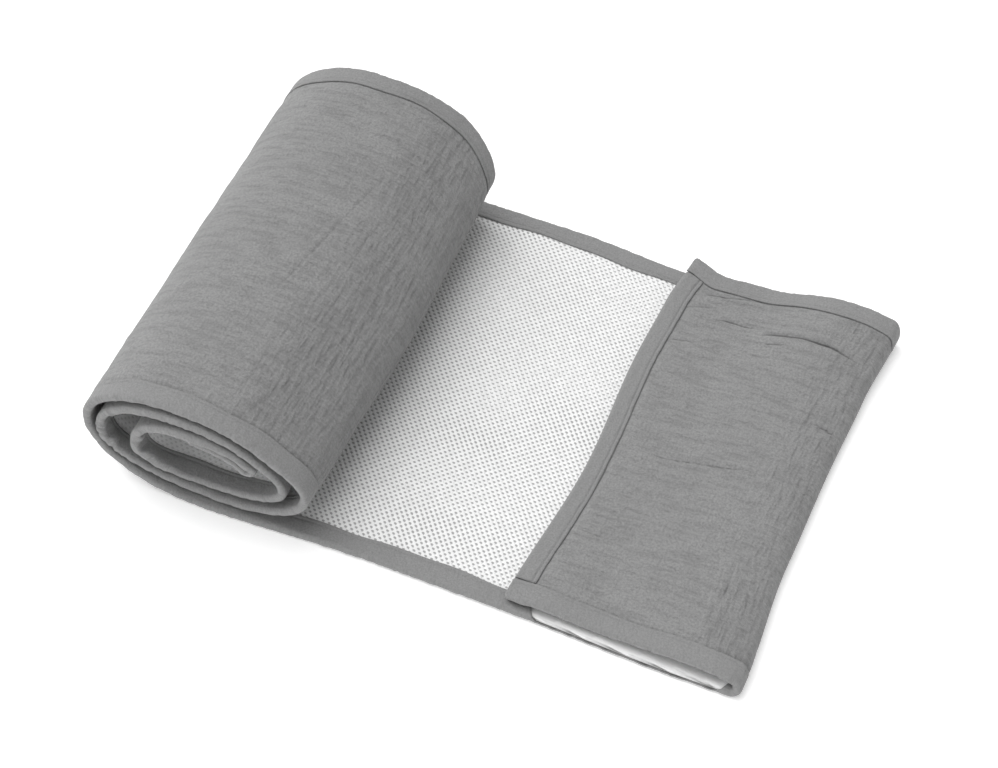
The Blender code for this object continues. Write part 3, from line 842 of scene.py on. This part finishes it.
RIM = 2.4                   # how far in from the edge the tape's round rim reaches
RIM_SPARE = 0.2             # at least this much of a narrow leg is left flat
RIM_STEPS = 5
FROM_BORDER = (0.0, 0.3, 0.9, 1.6, 2.1, 2.6, 3.1, 4.2, 6.0, 8.2, 10.4)
BORDER_WIDTH = 0.05         # within this of its border the tape's raw corner is rounded
BORDER_DROP = 0.4           # by this much
SEAM_INSET = 2.6            # the stitched groove lies this far inside the border
SEAM_DEPTH = 0.7
SEAM_HALF = 0.38
SEAM_LIP = 0.22
SEAM_LIP_AT = 1.1
SEAM_SLACK = 19.0           # the long tapes' groove comes and goes over this length
SEAM_SWING = 0.4
TAPE_STEP = 2.0
ROLLED_TAPE_STEP = 1.3
TAPE_TURN = 6.0
TAPE_SEEDS = {"near": 71, "far": 81, "flap": 91, "inner": 96}
TIGHT_REACH = 6.0           # the strip bends tightly where from this far behind to this far
TIGHT_TURN = 30.0           # ahead it turns by this many degrees
GATHER_LENGTHS = (4.2, 9.0)     # along and across the tape
GATHER_HEIGHT = 0.10
GATHER_TIGHT = 0.16         # added where the strip bends tightly
GATHER_FADE = 0.6           # share lost from the border to the edge
SLACK_LENGTHS = (15.0, 12.0)
SLACK_HEIGHT = 0.14
FACE_MARGIN = 0.1           # only points this far above the tape's lining move
PUCKERED = ("left_2", "left_3")     # the inner turns' left bends fold the tape up
PUCKER_REACH = 48.0         # this far from the middle of the bend
PUCKER_FULL = 1.4           # over 1, so that the folds stay full some way from it
PUCKER_LENGTHS = (5.0, 20.0)
PUCKER_LEVEL = 0.35         # lifts the noise, so that most of the tape there folds
PUCKER_SKEW = 0.6           # below 1, so that a fold is highest nearer to the edge
PUCKER_HEIGHT = 2.4
RIM_PITCH = 2.6
RIM_SWAY = 0.38             # the rim wanders this much
RIM_PUCKERED = 1.5          # share of it added where the tape folds up
RIM_REACH = 6.0
CORNER_ROUND = 2.5
CORNER_REACH = 6.0
END_STEPS = (0.0, 0.25, 0.8, 1.6)
END_DROP = 0.35             # share of the height that the tape's cut end loses
END_MARGIN = LEG_WIDTH + LEG_SWAY + CLOTH_GAP


def seam_relief(from_border, seam):
    """Height of the stitched groove and the lips beside it, where seam is its share."""
    groove = np.exp(-((from_border - SEAM_INSET) / SEAM_HALF) ** 2)
    lips = np.exp(-((np.abs(from_border - SEAM_INSET) - SEAM_LIP_AT) / SEAM_HALF) ** 2)
    edge = np.where(from_border < BORDER_WIDTH, BORDER_DROP, 0.0)
    return seam * (SEAM_LIP * lips - SEAM_DEPTH * groove) - edge


def face_profile(width, seam):
    """One face of the tape from its border to the middle of the rim: (inset, height) rows."""
    from_border = np.array(FROM_BORDER)
    rim = min(RIM, width - RIM_SPARE)
    squeeze = (width - rim) / (LEG_WIDTH - RIM)
    inset = width - from_border * squeeze
    height = EDGE_HALF + seam_relief(from_border, seam) * min(squeeze, 1.0)
    angles = np.linspace(0.0, math.pi / 2.0, RIM_STEPS + 1)[:-1]
    arc = np.stack([rim * (1.0 - np.sin(angles)), EDGE_HALF * np.cos(angles)], axis=-1)
    return np.concatenate([np.stack([inset, height], axis=-1), arc])


def lip_profile(count):
    """Lower side of the low lip, where the tape is turned under."""
    path = np.array(LIP_PROFILE)
    steps = np.concatenate([[0.0], np.cumsum(np.linalg.norm(np.diff(path, axis=0), axis=1))])
    share = np.linspace(0.0, steps[-1], count)
    return np.stack([np.interp(share, steps, path[:, 0]),
                     np.interp(share, steps, path[:, 1]) + LIP_HEIGHT], axis=-1)


def tape_profile(width, inner_leg, inner_wall, seam):
    """Section of the folded tape, round from its border on the muslin side."""
    inside = EDGE_HALF - TAPE
    leg = mix(LIP_WIDTH, width, inner_leg)
    inner = face_profile(leg, seam)[::-1] * np.array([1.0, -1.0])
    lining = np.array([(leg, -inside), (mix(TAPE, leg, 0.5), -inside), (TAPE, -inside)])
    whole = np.concatenate([[(0.0, 0.0)], inner, lining])
    mesh_side = mix(lip_profile(len(whole)), whole, inner_wall)
    muslin_lining = [(TAPE, inside), (mix(TAPE, width, 0.5), inside), (width, inside)]
    return np.concatenate([face_profile(width, seam), mesh_side, muslin_lining])


Turn = namedtuple("Turn", "along inner_leg inner_wall")


def turned_under():
    """Where the near tape is turned under, as in the part."""
    start = along_at("fold_under") - UNDER_LEAD
    end = along_at("floor_bound") - UNDER_STOP
    return (
        Turn(start, 1.0, 1.0),
        Turn(start + LEG_RAMP, 0.0, 1.0),
        Turn(start + LEG_RAMP + WALL_RAMP, 0.0, 0.0),
        Turn(end - LEG_RAMP - WALL_RAMP, 0.0, 0.0),
        Turn(end - LEG_RAMP, 0.0, 1.0),
        Turn(end, 1.0, 1.0),
    )


def tightness(along):
    """How tightly the strip bends, from 0 to 1."""
    ahead, behind = [np.interp(along + way * TIGHT_REACH, MARK_ALONG, MARK_TURNING)
                     for way in (1.0, -1.0)]
    return np.clip((ahead - behind) / TIGHT_TURN, 0.0, 1.0)


def puckered(along):
    """How far the tape is folded up by a tight bend, from 0 to 1."""
    away = np.min([np.abs(along - along_at(name)) for name in PUCKERED], axis=0)
    return ease(PUCKER_FULL * (1.0 - away / PUCKER_REACH))


def tape_unevenness(run, inset, height, seed):
    """Gathers that the stitches draw into the tape, its slack between them and its puckers."""
    face = np.sign(height) * (np.abs(height) > EDGE_HALF - TAPE + FACE_MARGIN)
    from_seam = np.clip((LEG_WIDTH - inset) / LEG_WIDTH, 0.0, 1.0)
    gather, slack = [
        noise(run / lengths[0], inset / lengths[1] + apart * np.sign(height), seed + place)
        for place, (lengths, apart) in enumerate(((GATHER_LENGTHS, 3.0), (SLACK_LENGTHS, 9.0)))
    ]
    drawn = (GATHER_HEIGHT + GATHER_TIGHT * tightness(run)) * (1.0 - GATHER_FADE * from_seam)
    fold = noise(run / PUCKER_LENGTHS[0], inset / PUCKER_LENGTHS[1] + 5.0, seed + 2)
    bulge = np.sin(math.pi * np.clip(inset / LEG_WIDTH, 0.0, 1.0) ** PUCKER_SKEW)
    pucker = PUCKER_HEIGHT * puckered(run) * ease(fold + PUCKER_LEVEL) * bulge * (face < 0.0)
    return face * (gather * drawn + SLACK_HEIGHT * slack + pucker)


def rim_sway(run, inset, seed):
    """Wander of the rim in and out."""
    drawn = RIM_SWAY * (1.0 + RIM_PUCKERED * puckered(run))
    row = np.full_like(inset, 7.0)
    return drawn * noise(run / RIM_PITCH, row, seed + 3) * ease(1.0 - inset / RIM_REACH)


def long_stations():
    """Stations of a long tape, close together in the roll and at its two cut ends."""
    first, last = END_STEPS[-1] * 2.0, STRIP_LENGTH - END_STEPS[-1] * 2.0
    rolled = along_at(FIRST_ROLLED)
    inner = np.concatenate([lines_along(first, rolled, TAPE_STEP, TAPE_TURN)[:-1],
                            lines_along(rolled, last, ROLLED_TAPE_STEP, TAPE_TURN)])
    return np.concatenate([END_STEPS, inner, STRIP_LENGTH - np.array(END_STEPS)[::-1]])


def end_stations():
    """Stations of an end tape, which lies between the two long ones."""
    count = int((STRIP_WIDTH - 2.0 * END_MARGIN) / TAPE_STEP)
    return np.linspace(END_MARGIN, STRIP_WIDTH - END_MARGIN, count)


def end_rounding(to_end):
    """Share of the height lost, and the corner's cut, near the end of a tape."""
    missing = 1.0 - np.clip(to_end / END_STEPS[-1], 0.0, 1.0)
    short = max(CORNER_ROUND - to_end, 0.0)
    return (END_DROP * (1.0 - math.sqrt(1.0 - missing ** 2)),
            CORNER_ROUND - math.sqrt(CORNER_ROUND ** 2 - short ** 2))


def long_section(run, edge, seed):
    """Insets and heights of a long tape's section at one station."""
    leg = wall = 1.0
    if edge == "near":
        starts, legs, walls = zip(*turned_under())
        leg, wall = np.interp(run, starts, legs), np.interp(run, starts, walls)
    seam = varied(SEAM_SWING, run / SEAM_SLACK, 0.5, seed + 5)
    inset, height = tape_profile(leg_width(run), leg, wall, seam).T
    drop, cut = end_rounding(min(run, STRIP_LENGTH - run))
    inset = inset + cut * ease((CORNER_REACH - inset) / CORNER_REACH)
    height = height + tape_unevenness(run, inset, height, seed)
    return np.maximum(inset + rim_sway(run, inset, seed), 0.0), height * (1.0 - drop)


def end_section(run, edge, seed):
    """Insets and heights of an end tape's section at one station."""
    inset, height = tape_profile(LEG_WIDTH + end_sway(run, edge), 1.0, 1.0, 1.0).T
    return inset, height + tape_unevenness(run, inset, height, seed)


def edge_ring(edge, run, inset, height):
    """Place a ring round an edge's tape, in the order that turns its faces outwards."""
    run = np.full(len(inset), run)
    if edge in ("far", "flap"):
        inset, height = inset[::-1], height[::-1]
    if edge in ("near", "far"):
        return run, inset if edge == "near" else STRIP_WIDTH - inset, height
    return inset if edge == "flap" else STRIP_LENGTH - inset, run, height


def build_tape(name, origin, edge):
    """Folded tape over one edge of the strip: near, far, flap or inner."""
    sheet = Sheet()
    seed = TAPE_SEEDS[edge]
    is_long = edge in ("near", "far")
    section = long_section if is_long else end_section
    stations = long_stations() if is_long else end_stations()
    sheet.tube([edge_ring(edge, run, *section(run, edge, seed)) for run in stations])
    return sheet.build(name, origin)


# --- Stitches ----------------------------------------------------------------------------

STITCH_PITCH = 2.9
STITCH_LENGTH = 2.1
STITCH_RADIUS = 0.24
STITCH_SIDES = 5
# Rings of a stitch: share of its length, girth and how far the ring is sunk
STITCH_RINGS = ((0.0, 0.35, -0.35), (0.2, 1.0, -0.05), (0.8, 1.0, -0.05), (1.0, 0.35, -0.35))
STITCH_LIFT = 0.16
LONG_MARGINS = (4.0, 6.0)   # no stitch starts nearer than this to the two ends of a tape
END_MARGINS = (1.0, 3.0)
UNDER_MARGINS = (3.0, 1.0)  # nor this near to where the near tape is turned under


def stitch_line(sheet, starts, side, edge):
    """Stitches in the groove of one face of an edge's tape."""
    level = side * (EDGE_HALF - SEAM_DEPTH + STITCH_LIFT)
    angles = np.linspace(0.0, math.tau, STITCH_SIDES, endpoint=False)
    for start in starts:
        rings = []
        for share, girth, sink in STITCH_RINGS:
            run = start + share * STITCH_LENGTH
            width = leg_width(run) if edge in ("near", "far") else LEG_WIDTH + end_sway(run, edge)
            inset = width - SEAM_INSET + girth * STITCH_RADIUS * np.cos(angles)
            height = level + side * sink + girth * STITCH_RADIUS * np.sin(angles)
            rings.append(edge_ring(edge, run, inset, height))
        sheet.tube(rings)


def build_stitches(origin):
    """All stitches, as one joined piece."""
    sheet = Sheet()
    under = turned_under()
    along = np.arange(LONG_MARGINS[0], STRIP_LENGTH - LONG_MARGINS[1], STITCH_PITCH)
    across = np.arange(END_MARGIN + END_MARGINS[0], STRIP_WIDTH - END_MARGIN - END_MARGINS[1],
                       STITCH_PITCH)
    shown = along[(along < under[0].along - UNDER_MARGINS[0])
                  | (along > under[-1].along + UNDER_MARGINS[1])]
    for side, near in ((1.0, along), (-1.0, shown)):
        for edge, starts in (("near", near), ("far", along), ("flap", across), ("inner", across)):
            stitch_line(sheet, starts, side, edge)
    return sheet.build("stitches", origin)


# --- Materials ---------------------------------------------------------------------------

OVER_SPAN = 0.25            # a thread goes from under to over within this


class Nodes:
    """Short calls that make shader nodes.

    A value is a number, a vector or another node's output, and scales are bumps to a metre.
    """

    def __init__(self, name):
        self.material = bpy.data.materials.new(name)
        self.material.use_nodes = True
        self.tree = self.material.node_tree
        self.shader = self.tree.nodes["Principled BSDF"]
        self.strip = self.attribute("strip")

    def set(self, socket, value):
        """Give a socket a value."""
        if hasattr(value, "is_linked"):
            self.tree.links.new(value, socket)
        else:
            socket.default_value = value

    def node(self, kind, *values, **settings):
        """Node with its settings and the values of its first sockets."""
        node = self.tree.nodes.new(kind)
        for key, value in settings.items():
            setattr(node, key, value)
        for socket, value in zip(node.inputs, values):
            self.set(socket, value)
        return node

    def attribute(self, name):
        return self.node("ShaderNodeAttribute", attribute_name=name).outputs["Vector"]

    def math(self, operation, *values):
        return self.node("ShaderNodeMath", *values, operation=operation).outputs[0]

    def plus(self, first, second):
        return self.math("ADD", first, second)

    def times(self, first, second):
        return self.math("MULTIPLY", first, second)

    def vector(self, operation, *values):
        output = "Value" if operation == "LENGTH" else "Vector"
        return self.node("ShaderNodeVectorMath", *values, operation=operation).outputs[output]

    def parts(self, vector):
        return self.node("ShaderNodeSeparateXYZ", vector).outputs

    def noise(self, scale, detail=2.0, rough=0.5):
        """Noise over the strip, with its own scale along and across."""
        node = self.node("ShaderNodeTexNoise", self.vector("MULTIPLY", self.strip, (*scale, 1.0)))
        for key, value in (("Scale", 1.0), ("Detail", detail), ("Roughness", rough)):
            self.set(node.inputs[key], value)
        return node.outputs["Fac"]

    def ramp(self, value, low, high, bottom=0.0, top=1.0):
        return self.node("ShaderNodeMapRange", value, low, high, bottom, top,
                         interpolation_type="SMOOTHSTEP").outputs[0]

    def blend(self, share, first, second):
        """Mix of two colours, where a plain number is a linear grey."""
        node = self.node("ShaderNodeMix", share, data_type="RGBA")
        for socket, value in zip(node.inputs[6:8], (first, second)):
            self.set(socket, grey(value) if isinstance(value, float) else value)
        return node.outputs[2]

    def bump(self, height, distance, strength=1.0, below=None):
        node = self.node("ShaderNodeBump")
        for key, value in (("Height", height), ("Distance", distance), ("Strength", strength)):
            self.set(node.inputs[key], value)
        if below is not None:
            self.set(node.inputs["Normal"], below)
        return node.outputs[0]

    def stripes(self, axis, pitch):
        """Waves along one axis of the strip."""
        return self.math("SINE", self.times(self.parts(self.strip)[axis], math.tau / pitch))

    def weave(self, pitch):
        """Height of a plain weave: threads both ways, each going over and under."""
        spots = self.parts(self.vector("MULTIPLY", self.strip, (math.pi / pitch,) * 3))
        over = self.times(*[self.math("SINE", spots[axis]) for axis in (0, 1)])
        warp, weft = [self.math("ABSOLUTE", self.math("COSINE", spots[axis])) for axis in (0, 1)]
        up = self.ramp(over, -OVER_SPAN, OVER_SPAN)
        return self.plus(self.times(warp, up), self.times(weft, self.math("SUBTRACT", 1.0, up)))

    def finish(self, values):
        """Set the shader's sockets, and return the material."""
        for name, value in values.items():
            self.set(self.shader.inputs[name], value)
        return self.material


def grey(value):
    """Linear grey."""
    return (value, value, value, 1.0)


# A woven cloth: its darkest and lightest threads and their pitch, the scales of its grain and
# patches, how far the patches and the open weave darken it, and its bumps. Sizes are in metres
Cloth = namedtuple("Cloth", "dark light thread grain patch patch_shade open_shade "
                            "grain_depth grain_strength weave_depth")
MUSLIN = Cloth(0.22, 0.37, 0.00055, 640.0, (24.0, 30.0), 0.18, 0.25, 0.0009, 0.9, 0.00012)
COTTON = Cloth(0.235, 0.335, 0.0005, 760.0, (60.0, 80.0), 0.12, 0.2, 0.0008, 0.8, 0.0001)
THREAD_GAP_AND_SHADE_GREY = 0.10           # grey between the threads, and of the painted shade deep in the crinkles and where they cross
# grey of the painted shade along the creases
CREASE_SHADE_GREY = 0.05
GRAIN_DETAIL = 4.0
GRAIN_ROUGH = 0.75
GRAIN_SPAN = (0.25, 0.75)   # values from which a noise or a weave begins and stops to count
PATCH_SPAN = (0.3, 0.7)
OPEN_SPAN = (0.1, 0.7)
VALLEY_SPAN = (-0.12, 0.03)
CREASE_SPAN = (0.0, 0.9)
CROSS_SPAN = (0.0, 0.8)
HOLE_SPAN = (0.7, 1.3)      # in radii from a hole's middle
WEAVE_STRENGTH = 0.5
# strength of the painted shade in the crinkles' valleys
VALLEY_SHADE = 0.18
PACKED_SHADE = 0.14         # painted shade where crinkles cross and the cloth is puffed up
# strength of the painted shade along the creases
CREASE_SHADE = 0.75
# Two sets of fine crinkles: their scales the long and the short way, and their share
RIPPLES = ((36.0, 205.0, 0.65), (80.0, 350.0, 0.35))
CROSS_FINER = 1.3           # the crosswise ones are this many times finer
RIPPLE_DETAIL = (1.0, 0.4)
RIPPLE_DEPTH = 0.0028
# Strength of each set where the crosswise one is weak and strong, and the span between
ALONG_RIPPLES = (0.1, 0.9, 1.0, 0.8)
CROSS_RIPPLES = (0.0, 0.7, 0.25, 1.1)
PUFF_SCALE = (250.0, 250.0)
PUFF_BUMP = (0.0010, 0.8)
RUMPLE_SCALE = (190.0, 160.0)
RUMPLE_BUMP = (0.0016, 0.7)
TWIST_PITCH = 0.0006
TWIST_BUMP = (0.0001, 0.4)  # depth and strength
HOLE_BUMP = (0.0005, 0.5)
YARN_BUMP = (0.00008, 0.5)
THREAD_DARK = 0.20
THREAD_LIGHT = 0.30
MESH_LIGHT = 0.90
MESH_SHADE = 0.85
# grey of the painted shade inside the mesh's holes
HOLE_SHADE_GREY = 0.40
MOTTLE_SCALE = (150.0, 150.0)
KNIT_PITCH = 0.0011         # of the ribs, and this many loops to a rib
LOOPS_TO_RIB = 1.6
LOOP_SHARE = 0.6


def woven(nodes, cloth, below):
    """Colour and normal of a plain-woven cloth with a soft grain, over the bumps below."""
    grain = nodes.noise((cloth.grain, cloth.grain), GRAIN_DETAIL, GRAIN_ROUGH)
    patch = nodes.ramp(nodes.noise(cloth.patch), *PATCH_SPAN, 0.0, cloth.patch_shade)
    weave = nodes.weave(cloth.thread)
    colour = nodes.blend(nodes.ramp(grain, *GRAIN_SPAN), cloth.dark, cloth.light)
    colour = nodes.blend(patch, colour, cloth.dark)
    opened = nodes.ramp(weave, *OPEN_SPAN, cloth.open_shade, 0.0)
    colour = nodes.blend(opened, colour, THREAD_GAP_AND_SHADE_GREY)
    rough = nodes.bump(grain, cloth.grain_depth, cloth.grain_strength, below)
    return colour, nodes.bump(weave, cloth.weave_depth, WEAVE_STRENGTH, rough)


def ripples(nodes, cross):
    """Height of the fine crinkles: along the strip, and across it where cross is high."""
    heights = []
    for finer, order in ((1.0, 1), (CROSS_FINER, -1)):
        values = []
        for *scales, share in RIPPLES:
            scale = [item * finer for item in scales[::order]]
            value = nodes.math("SUBTRACT", nodes.noise(scale, *RIPPLE_DETAIL), 0.5)
            values.append(nodes.times(value, share))
        heights.append(nodes.plus(*values))
    return nodes.plus(*[nodes.times(height, nodes.ramp(cross, *strength)) for height, strength
                        in zip(heights, (ALONG_RIPPLES, CROSS_RIPPLES))])


def muslin_material():
    """Grey double gauze: a soft grain, fine crinkles and open threads, with painted shade in the
    creases, the crinkles' valleys and where crinkles cross.
    """
    nodes = Nodes("crinkled_muslin")
    crease, cross, _ = nodes.parts(nodes.attribute("pattern_and_shade"))
    crinkle = ripples(nodes, cross)
    puffs = nodes.bump(nodes.noise(PUFF_SCALE), *PUFF_BUMP)
    colour, normal = woven(nodes, MUSLIN, nodes.bump(crinkle, RIPPLE_DEPTH, 1.0, puffs))
    # Painted shade in the crinkles' valleys
    valley_painted_shade = nodes.ramp(crinkle, *VALLEY_SPAN, VALLEY_SHADE, 0.0)
    colour = nodes.blend(valley_painted_shade, colour, THREAD_GAP_AND_SHADE_GREY)
    # Painted shade where the crinkles cross
    packed_painted_shade = nodes.ramp(cross, *CROSS_SPAN, 0.0, PACKED_SHADE)
    colour = nodes.blend(packed_painted_shade, colour, THREAD_GAP_AND_SHADE_GREY)
    # Painted shade along the creases
    crease_painted_shade = nodes.times(nodes.ramp(crease, *CREASE_SPAN), CREASE_SHADE)
    colour = nodes.blend(crease_painted_shade, colour, CREASE_SHADE_GREY)
    return nodes.finish({"Base Color": colour, "Normal": normal, "Roughness": 0.95,
                         "Specular IOR Level": 0.2, "Sheen Weight": 0.2, "Sheen Roughness": 0.6})


def tape_material():
    """Grey plain-woven cotton tape, with finer threads than the muslin."""
    nodes = Nodes("binding_cotton")
    rumples = nodes.bump(nodes.noise(RUMPLE_SCALE), *RUMPLE_BUMP)
    colour, normal = woven(nodes, COTTON, rumples)
    return nodes.finish({"Base Color": colour, "Normal": normal, "Roughness": 0.85,
                         "Specular IOR Level": 0.25, "Sheen Weight": 0.15})


def thread_material():
    """Sewing thread with a fine twist."""
    nodes = Nodes("sewing_thread")
    twist = nodes.stripes(0, TWIST_PITCH)
    colour = nodes.blend(nodes.ramp(twist, -1.0, 1.0), THREAD_DARK, THREAD_LIGHT)
    return nodes.finish({"Base Color": colour, "Normal": nodes.bump(twist, *TWIST_BUMP),
                         "Roughness": 0.6})


def mesh_material():
    """White spacer mesh: knit ribs between soft oval holes, with painted shade inside them."""
    nodes = Nodes("spacer_mesh")
    cell = nodes.attribute("pattern_and_shade")
    size = (CELL_ALONG / HOLE_ALONG, CELL_ACROSS / HOLE_ACROSS, 0.0)
    gaps = []
    for offset in (0.5, 0.0):
        moved = nodes.vector("ADD", cell, (offset, offset, 0.0))
        centred = nodes.vector("SUBTRACT", nodes.vector("FRACTION", moved), (0.5, 0.5, 0.0))
        gaps.append(nodes.vector("LENGTH", nodes.vector("MULTIPLY", centred, size)))
    near_hole = nodes.ramp(nodes.math("MINIMUM", *gaps), *HOLE_SPAN, 1.0, 0.0)
    hole = nodes.times(near_hole, nodes.parts(cell)[2])
    loops = nodes.stripes(0, KNIT_PITCH / LOOPS_TO_RIB)
    yarn = nodes.plus(nodes.stripes(1, KNIT_PITCH), nodes.times(loops, LOOP_SHARE))
    mottle = nodes.ramp(nodes.noise(MOTTLE_SCALE), *PATCH_SPAN)
    light = nodes.blend(mottle, MESH_SHADE, MESH_LIGHT)
    low = nodes.bump(nodes.math("SUBTRACT", 1.0, hole), *HOLE_BUMP)
    # The holes are painted darker: painted shade inside them
    return nodes.finish({"Base Color": nodes.blend(hole, light, HOLE_SHADE_GREY),
                         "Normal": nodes.bump(yarn, *YARN_BUMP, low),
                         "Roughness": 0.75, "Sheen Weight": 0.2})


def floor_material():
    """Plain pale floor."""
    return Nodes("pale_floor").finish({
        "Base Color": grey(0.95), "Roughness": 1.0, "Specular IOR Level": 0.0,
        "Emission Color": grey(1.0), "Emission Strength": FLOOR_GLOW})


# --- Stage -------------------------------------------------------------------------------

FLOOR_SIZE = 6.0            # in metres, as the drop under the part is
FLOOR_DROP = 0.0001
FLOOR_GLOW = 0.28           # light of its own, which leaves only the shadows close to the part
WORLD_LIGHT = 0.40
# Soft lights: name, power, spread, elevation and azimuth
Lamp = namedtuple("Lamp", "name power spread elevation azimuth")
LAMPS = (
    Lamp("overhead_softbox", 1.50, 50.0, 79.0, 172.0),
    Lamp("side_softbox", 0.92, 40.0, 42.0, 156.0),
    Lamp("front_fill", 0.6, 60.0, 26.0, -112.0),
)


def add_floor():
    """A wide pale plane just under the part."""
    half = FLOOR_SIZE / 2.0
    data = bpy.data.meshes.new("floor")
    places = [(x, y, -FLOOR_DROP) for x, y in ((-half, -half), (half, -half), (half, half),
                                               (-half, half))]
    data.from_pydata(places, [], [(0, 1, 2, 3)])
    data.materials.append(floor_material())
    floor = bpy.data.objects.new("floor", data)
    bpy.context.scene.collection.objects.link(floor)


def add_light():
    """Bright surroundings, a broad light overhead, one from the left and a fill from the front."""
    world = bpy.data.worlds.new("studio")
    world.use_nodes = True
    background = world.node_tree.nodes["Background"]
    background.inputs["Color"].default_value = grey(1.0)
    background.inputs["Strength"].default_value = WORLD_LIGHT
    bpy.context.scene.world = world
    for lamp in LAMPS:
        sun = bpy.data.lights.new(lamp.name, "SUN")
        sun.energy = lamp.power
        sun.angle = math.radians(lamp.spread)
        placed = bpy.data.objects.new(lamp.name, sun)
        elevation, azimuth = math.radians(lamp.elevation), math.radians(lamp.azimuth)
        towards = Vector((math.cos(elevation) * math.cos(azimuth),
                          math.cos(elevation) * math.sin(azimuth), math.sin(elevation)))
        placed.rotation_euler = towards.to_track_quat("Z", "Y").to_euler()
        bpy.context.scene.collection.objects.link(placed)


def add_camera(origin):
    """The photograph's view."""
    elevation, azimuth, roll = [math.radians(angle) for angle in
                                (CAMERA_ELEVATION, CAMERA_AZIMUTH, CAMERA_ROLL)]
    side = Vector((math.cos(azimuth), math.sin(azimuth), 0.0))
    away = Vector((-math.sin(azimuth), math.cos(azimuth), 0.0))
    up = Vector((0.0, 0.0, 1.0))
    forward = away * math.cos(elevation) - up * math.sin(elevation)
    above = away * math.sin(elevation) + up * math.cos(elevation)
    right = side * math.cos(roll) + above * math.sin(roll)
    top = above * math.cos(roll) - side * math.sin(roll)
    target = Vector((CAMERA_TARGET[0] - origin[0], CAMERA_TARGET[1] - origin[1], 0.0)) * MM
    place = target - forward * CAMERA_DISTANCE * MM
    lens = bpy.data.cameras.new("camera")
    lens.lens = CAMERA_LENS
    lens.sensor_width = CAMERA_SENSOR
    lens.sensor_fit = "HORIZONTAL"
    camera = bpy.data.objects.new("camera", lens)
    camera.matrix_world = Matrix((
        (right.x, top.x, -forward.x, place.x),
        (right.y, top.y, -forward.y, place.y),
        (right.z, top.z, -forward.z, place.z),
        (0.0, 0.0, 0.0, 1.0),
    ))
    bpy.context.scene.collection.objects.link(camera)
    bpy.context.scene.camera = camera


# --- The scene ---------------------------------------------------------------------------

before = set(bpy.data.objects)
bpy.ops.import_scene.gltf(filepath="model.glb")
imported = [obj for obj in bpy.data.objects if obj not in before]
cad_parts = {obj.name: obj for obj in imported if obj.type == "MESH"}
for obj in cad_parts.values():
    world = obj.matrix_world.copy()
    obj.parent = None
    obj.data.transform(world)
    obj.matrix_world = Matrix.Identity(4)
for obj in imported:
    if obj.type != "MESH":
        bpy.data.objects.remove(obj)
cad_box = [list(corner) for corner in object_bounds()]
ORIGIN = part_origin(cad_box)

add_floor()
add_light()
add_camera(ORIGIN)
bpy.context.scene.view_settings.view_transform = "Standard"
bpy.context.scene.view_settings.look = "None"

PANEL_FLAT = ((STRIP_WIDTH - 2.0 * CLOTH_INSET) * MM, (STRIP_LENGTH - 2.0 * CLOTH_INSET) * MM)
TAPE_CUT = 2.0 * (LEG_WIDTH + EDGE_HALF) * MM
LONG_FLAT = (TAPE_CUT, STRIP_LENGTH * MM)
END_FLAT = (TAPE_CUT, (STRIP_WIDTH - 2.0 * END_MARGIN) * MM)
muslin_look = muslin_material()
mesh_look = mesh_material()
tape_look = tape_material()

# Each piece, the node that it replaces, its slot, its material and its flat size
Piece = namedtuple("Piece", "piece node slot look flat")
PIECES = (
    Piece(build_muslin(ORIGIN), "muslin_panel", "muslin", muslin_look, PANEL_FLAT),
    Piece(build_mesh(ORIGIN), "mesh_panel", "mesh", mesh_look, PANEL_FLAT),
    Piece(build_tape("tape_near", ORIGIN, "near"), "binding_near", "tape", tape_look, LONG_FLAT),
    Piece(build_tape("tape_far", ORIGIN, "far"), "binding_far", "tape", tape_look, LONG_FLAT),
    Piece(build_tape("tape_flap_end", ORIGIN, "flap"), "binding_flap_end", "tape", tape_look,
          END_FLAT),
    Piece(build_tape("tape_inner_end", ORIGIN, "inner"), "binding_inner_end", "tape", tape_look,
          END_FLAT),
)
for row in PIECES:
    row.piece.data.materials.append(row.look)
    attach(row.piece, "root")
    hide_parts(row.node)

stitches = build_stitches(ORIGIN)
stitches.data.materials.append(thread_material())
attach(stitches, "root")
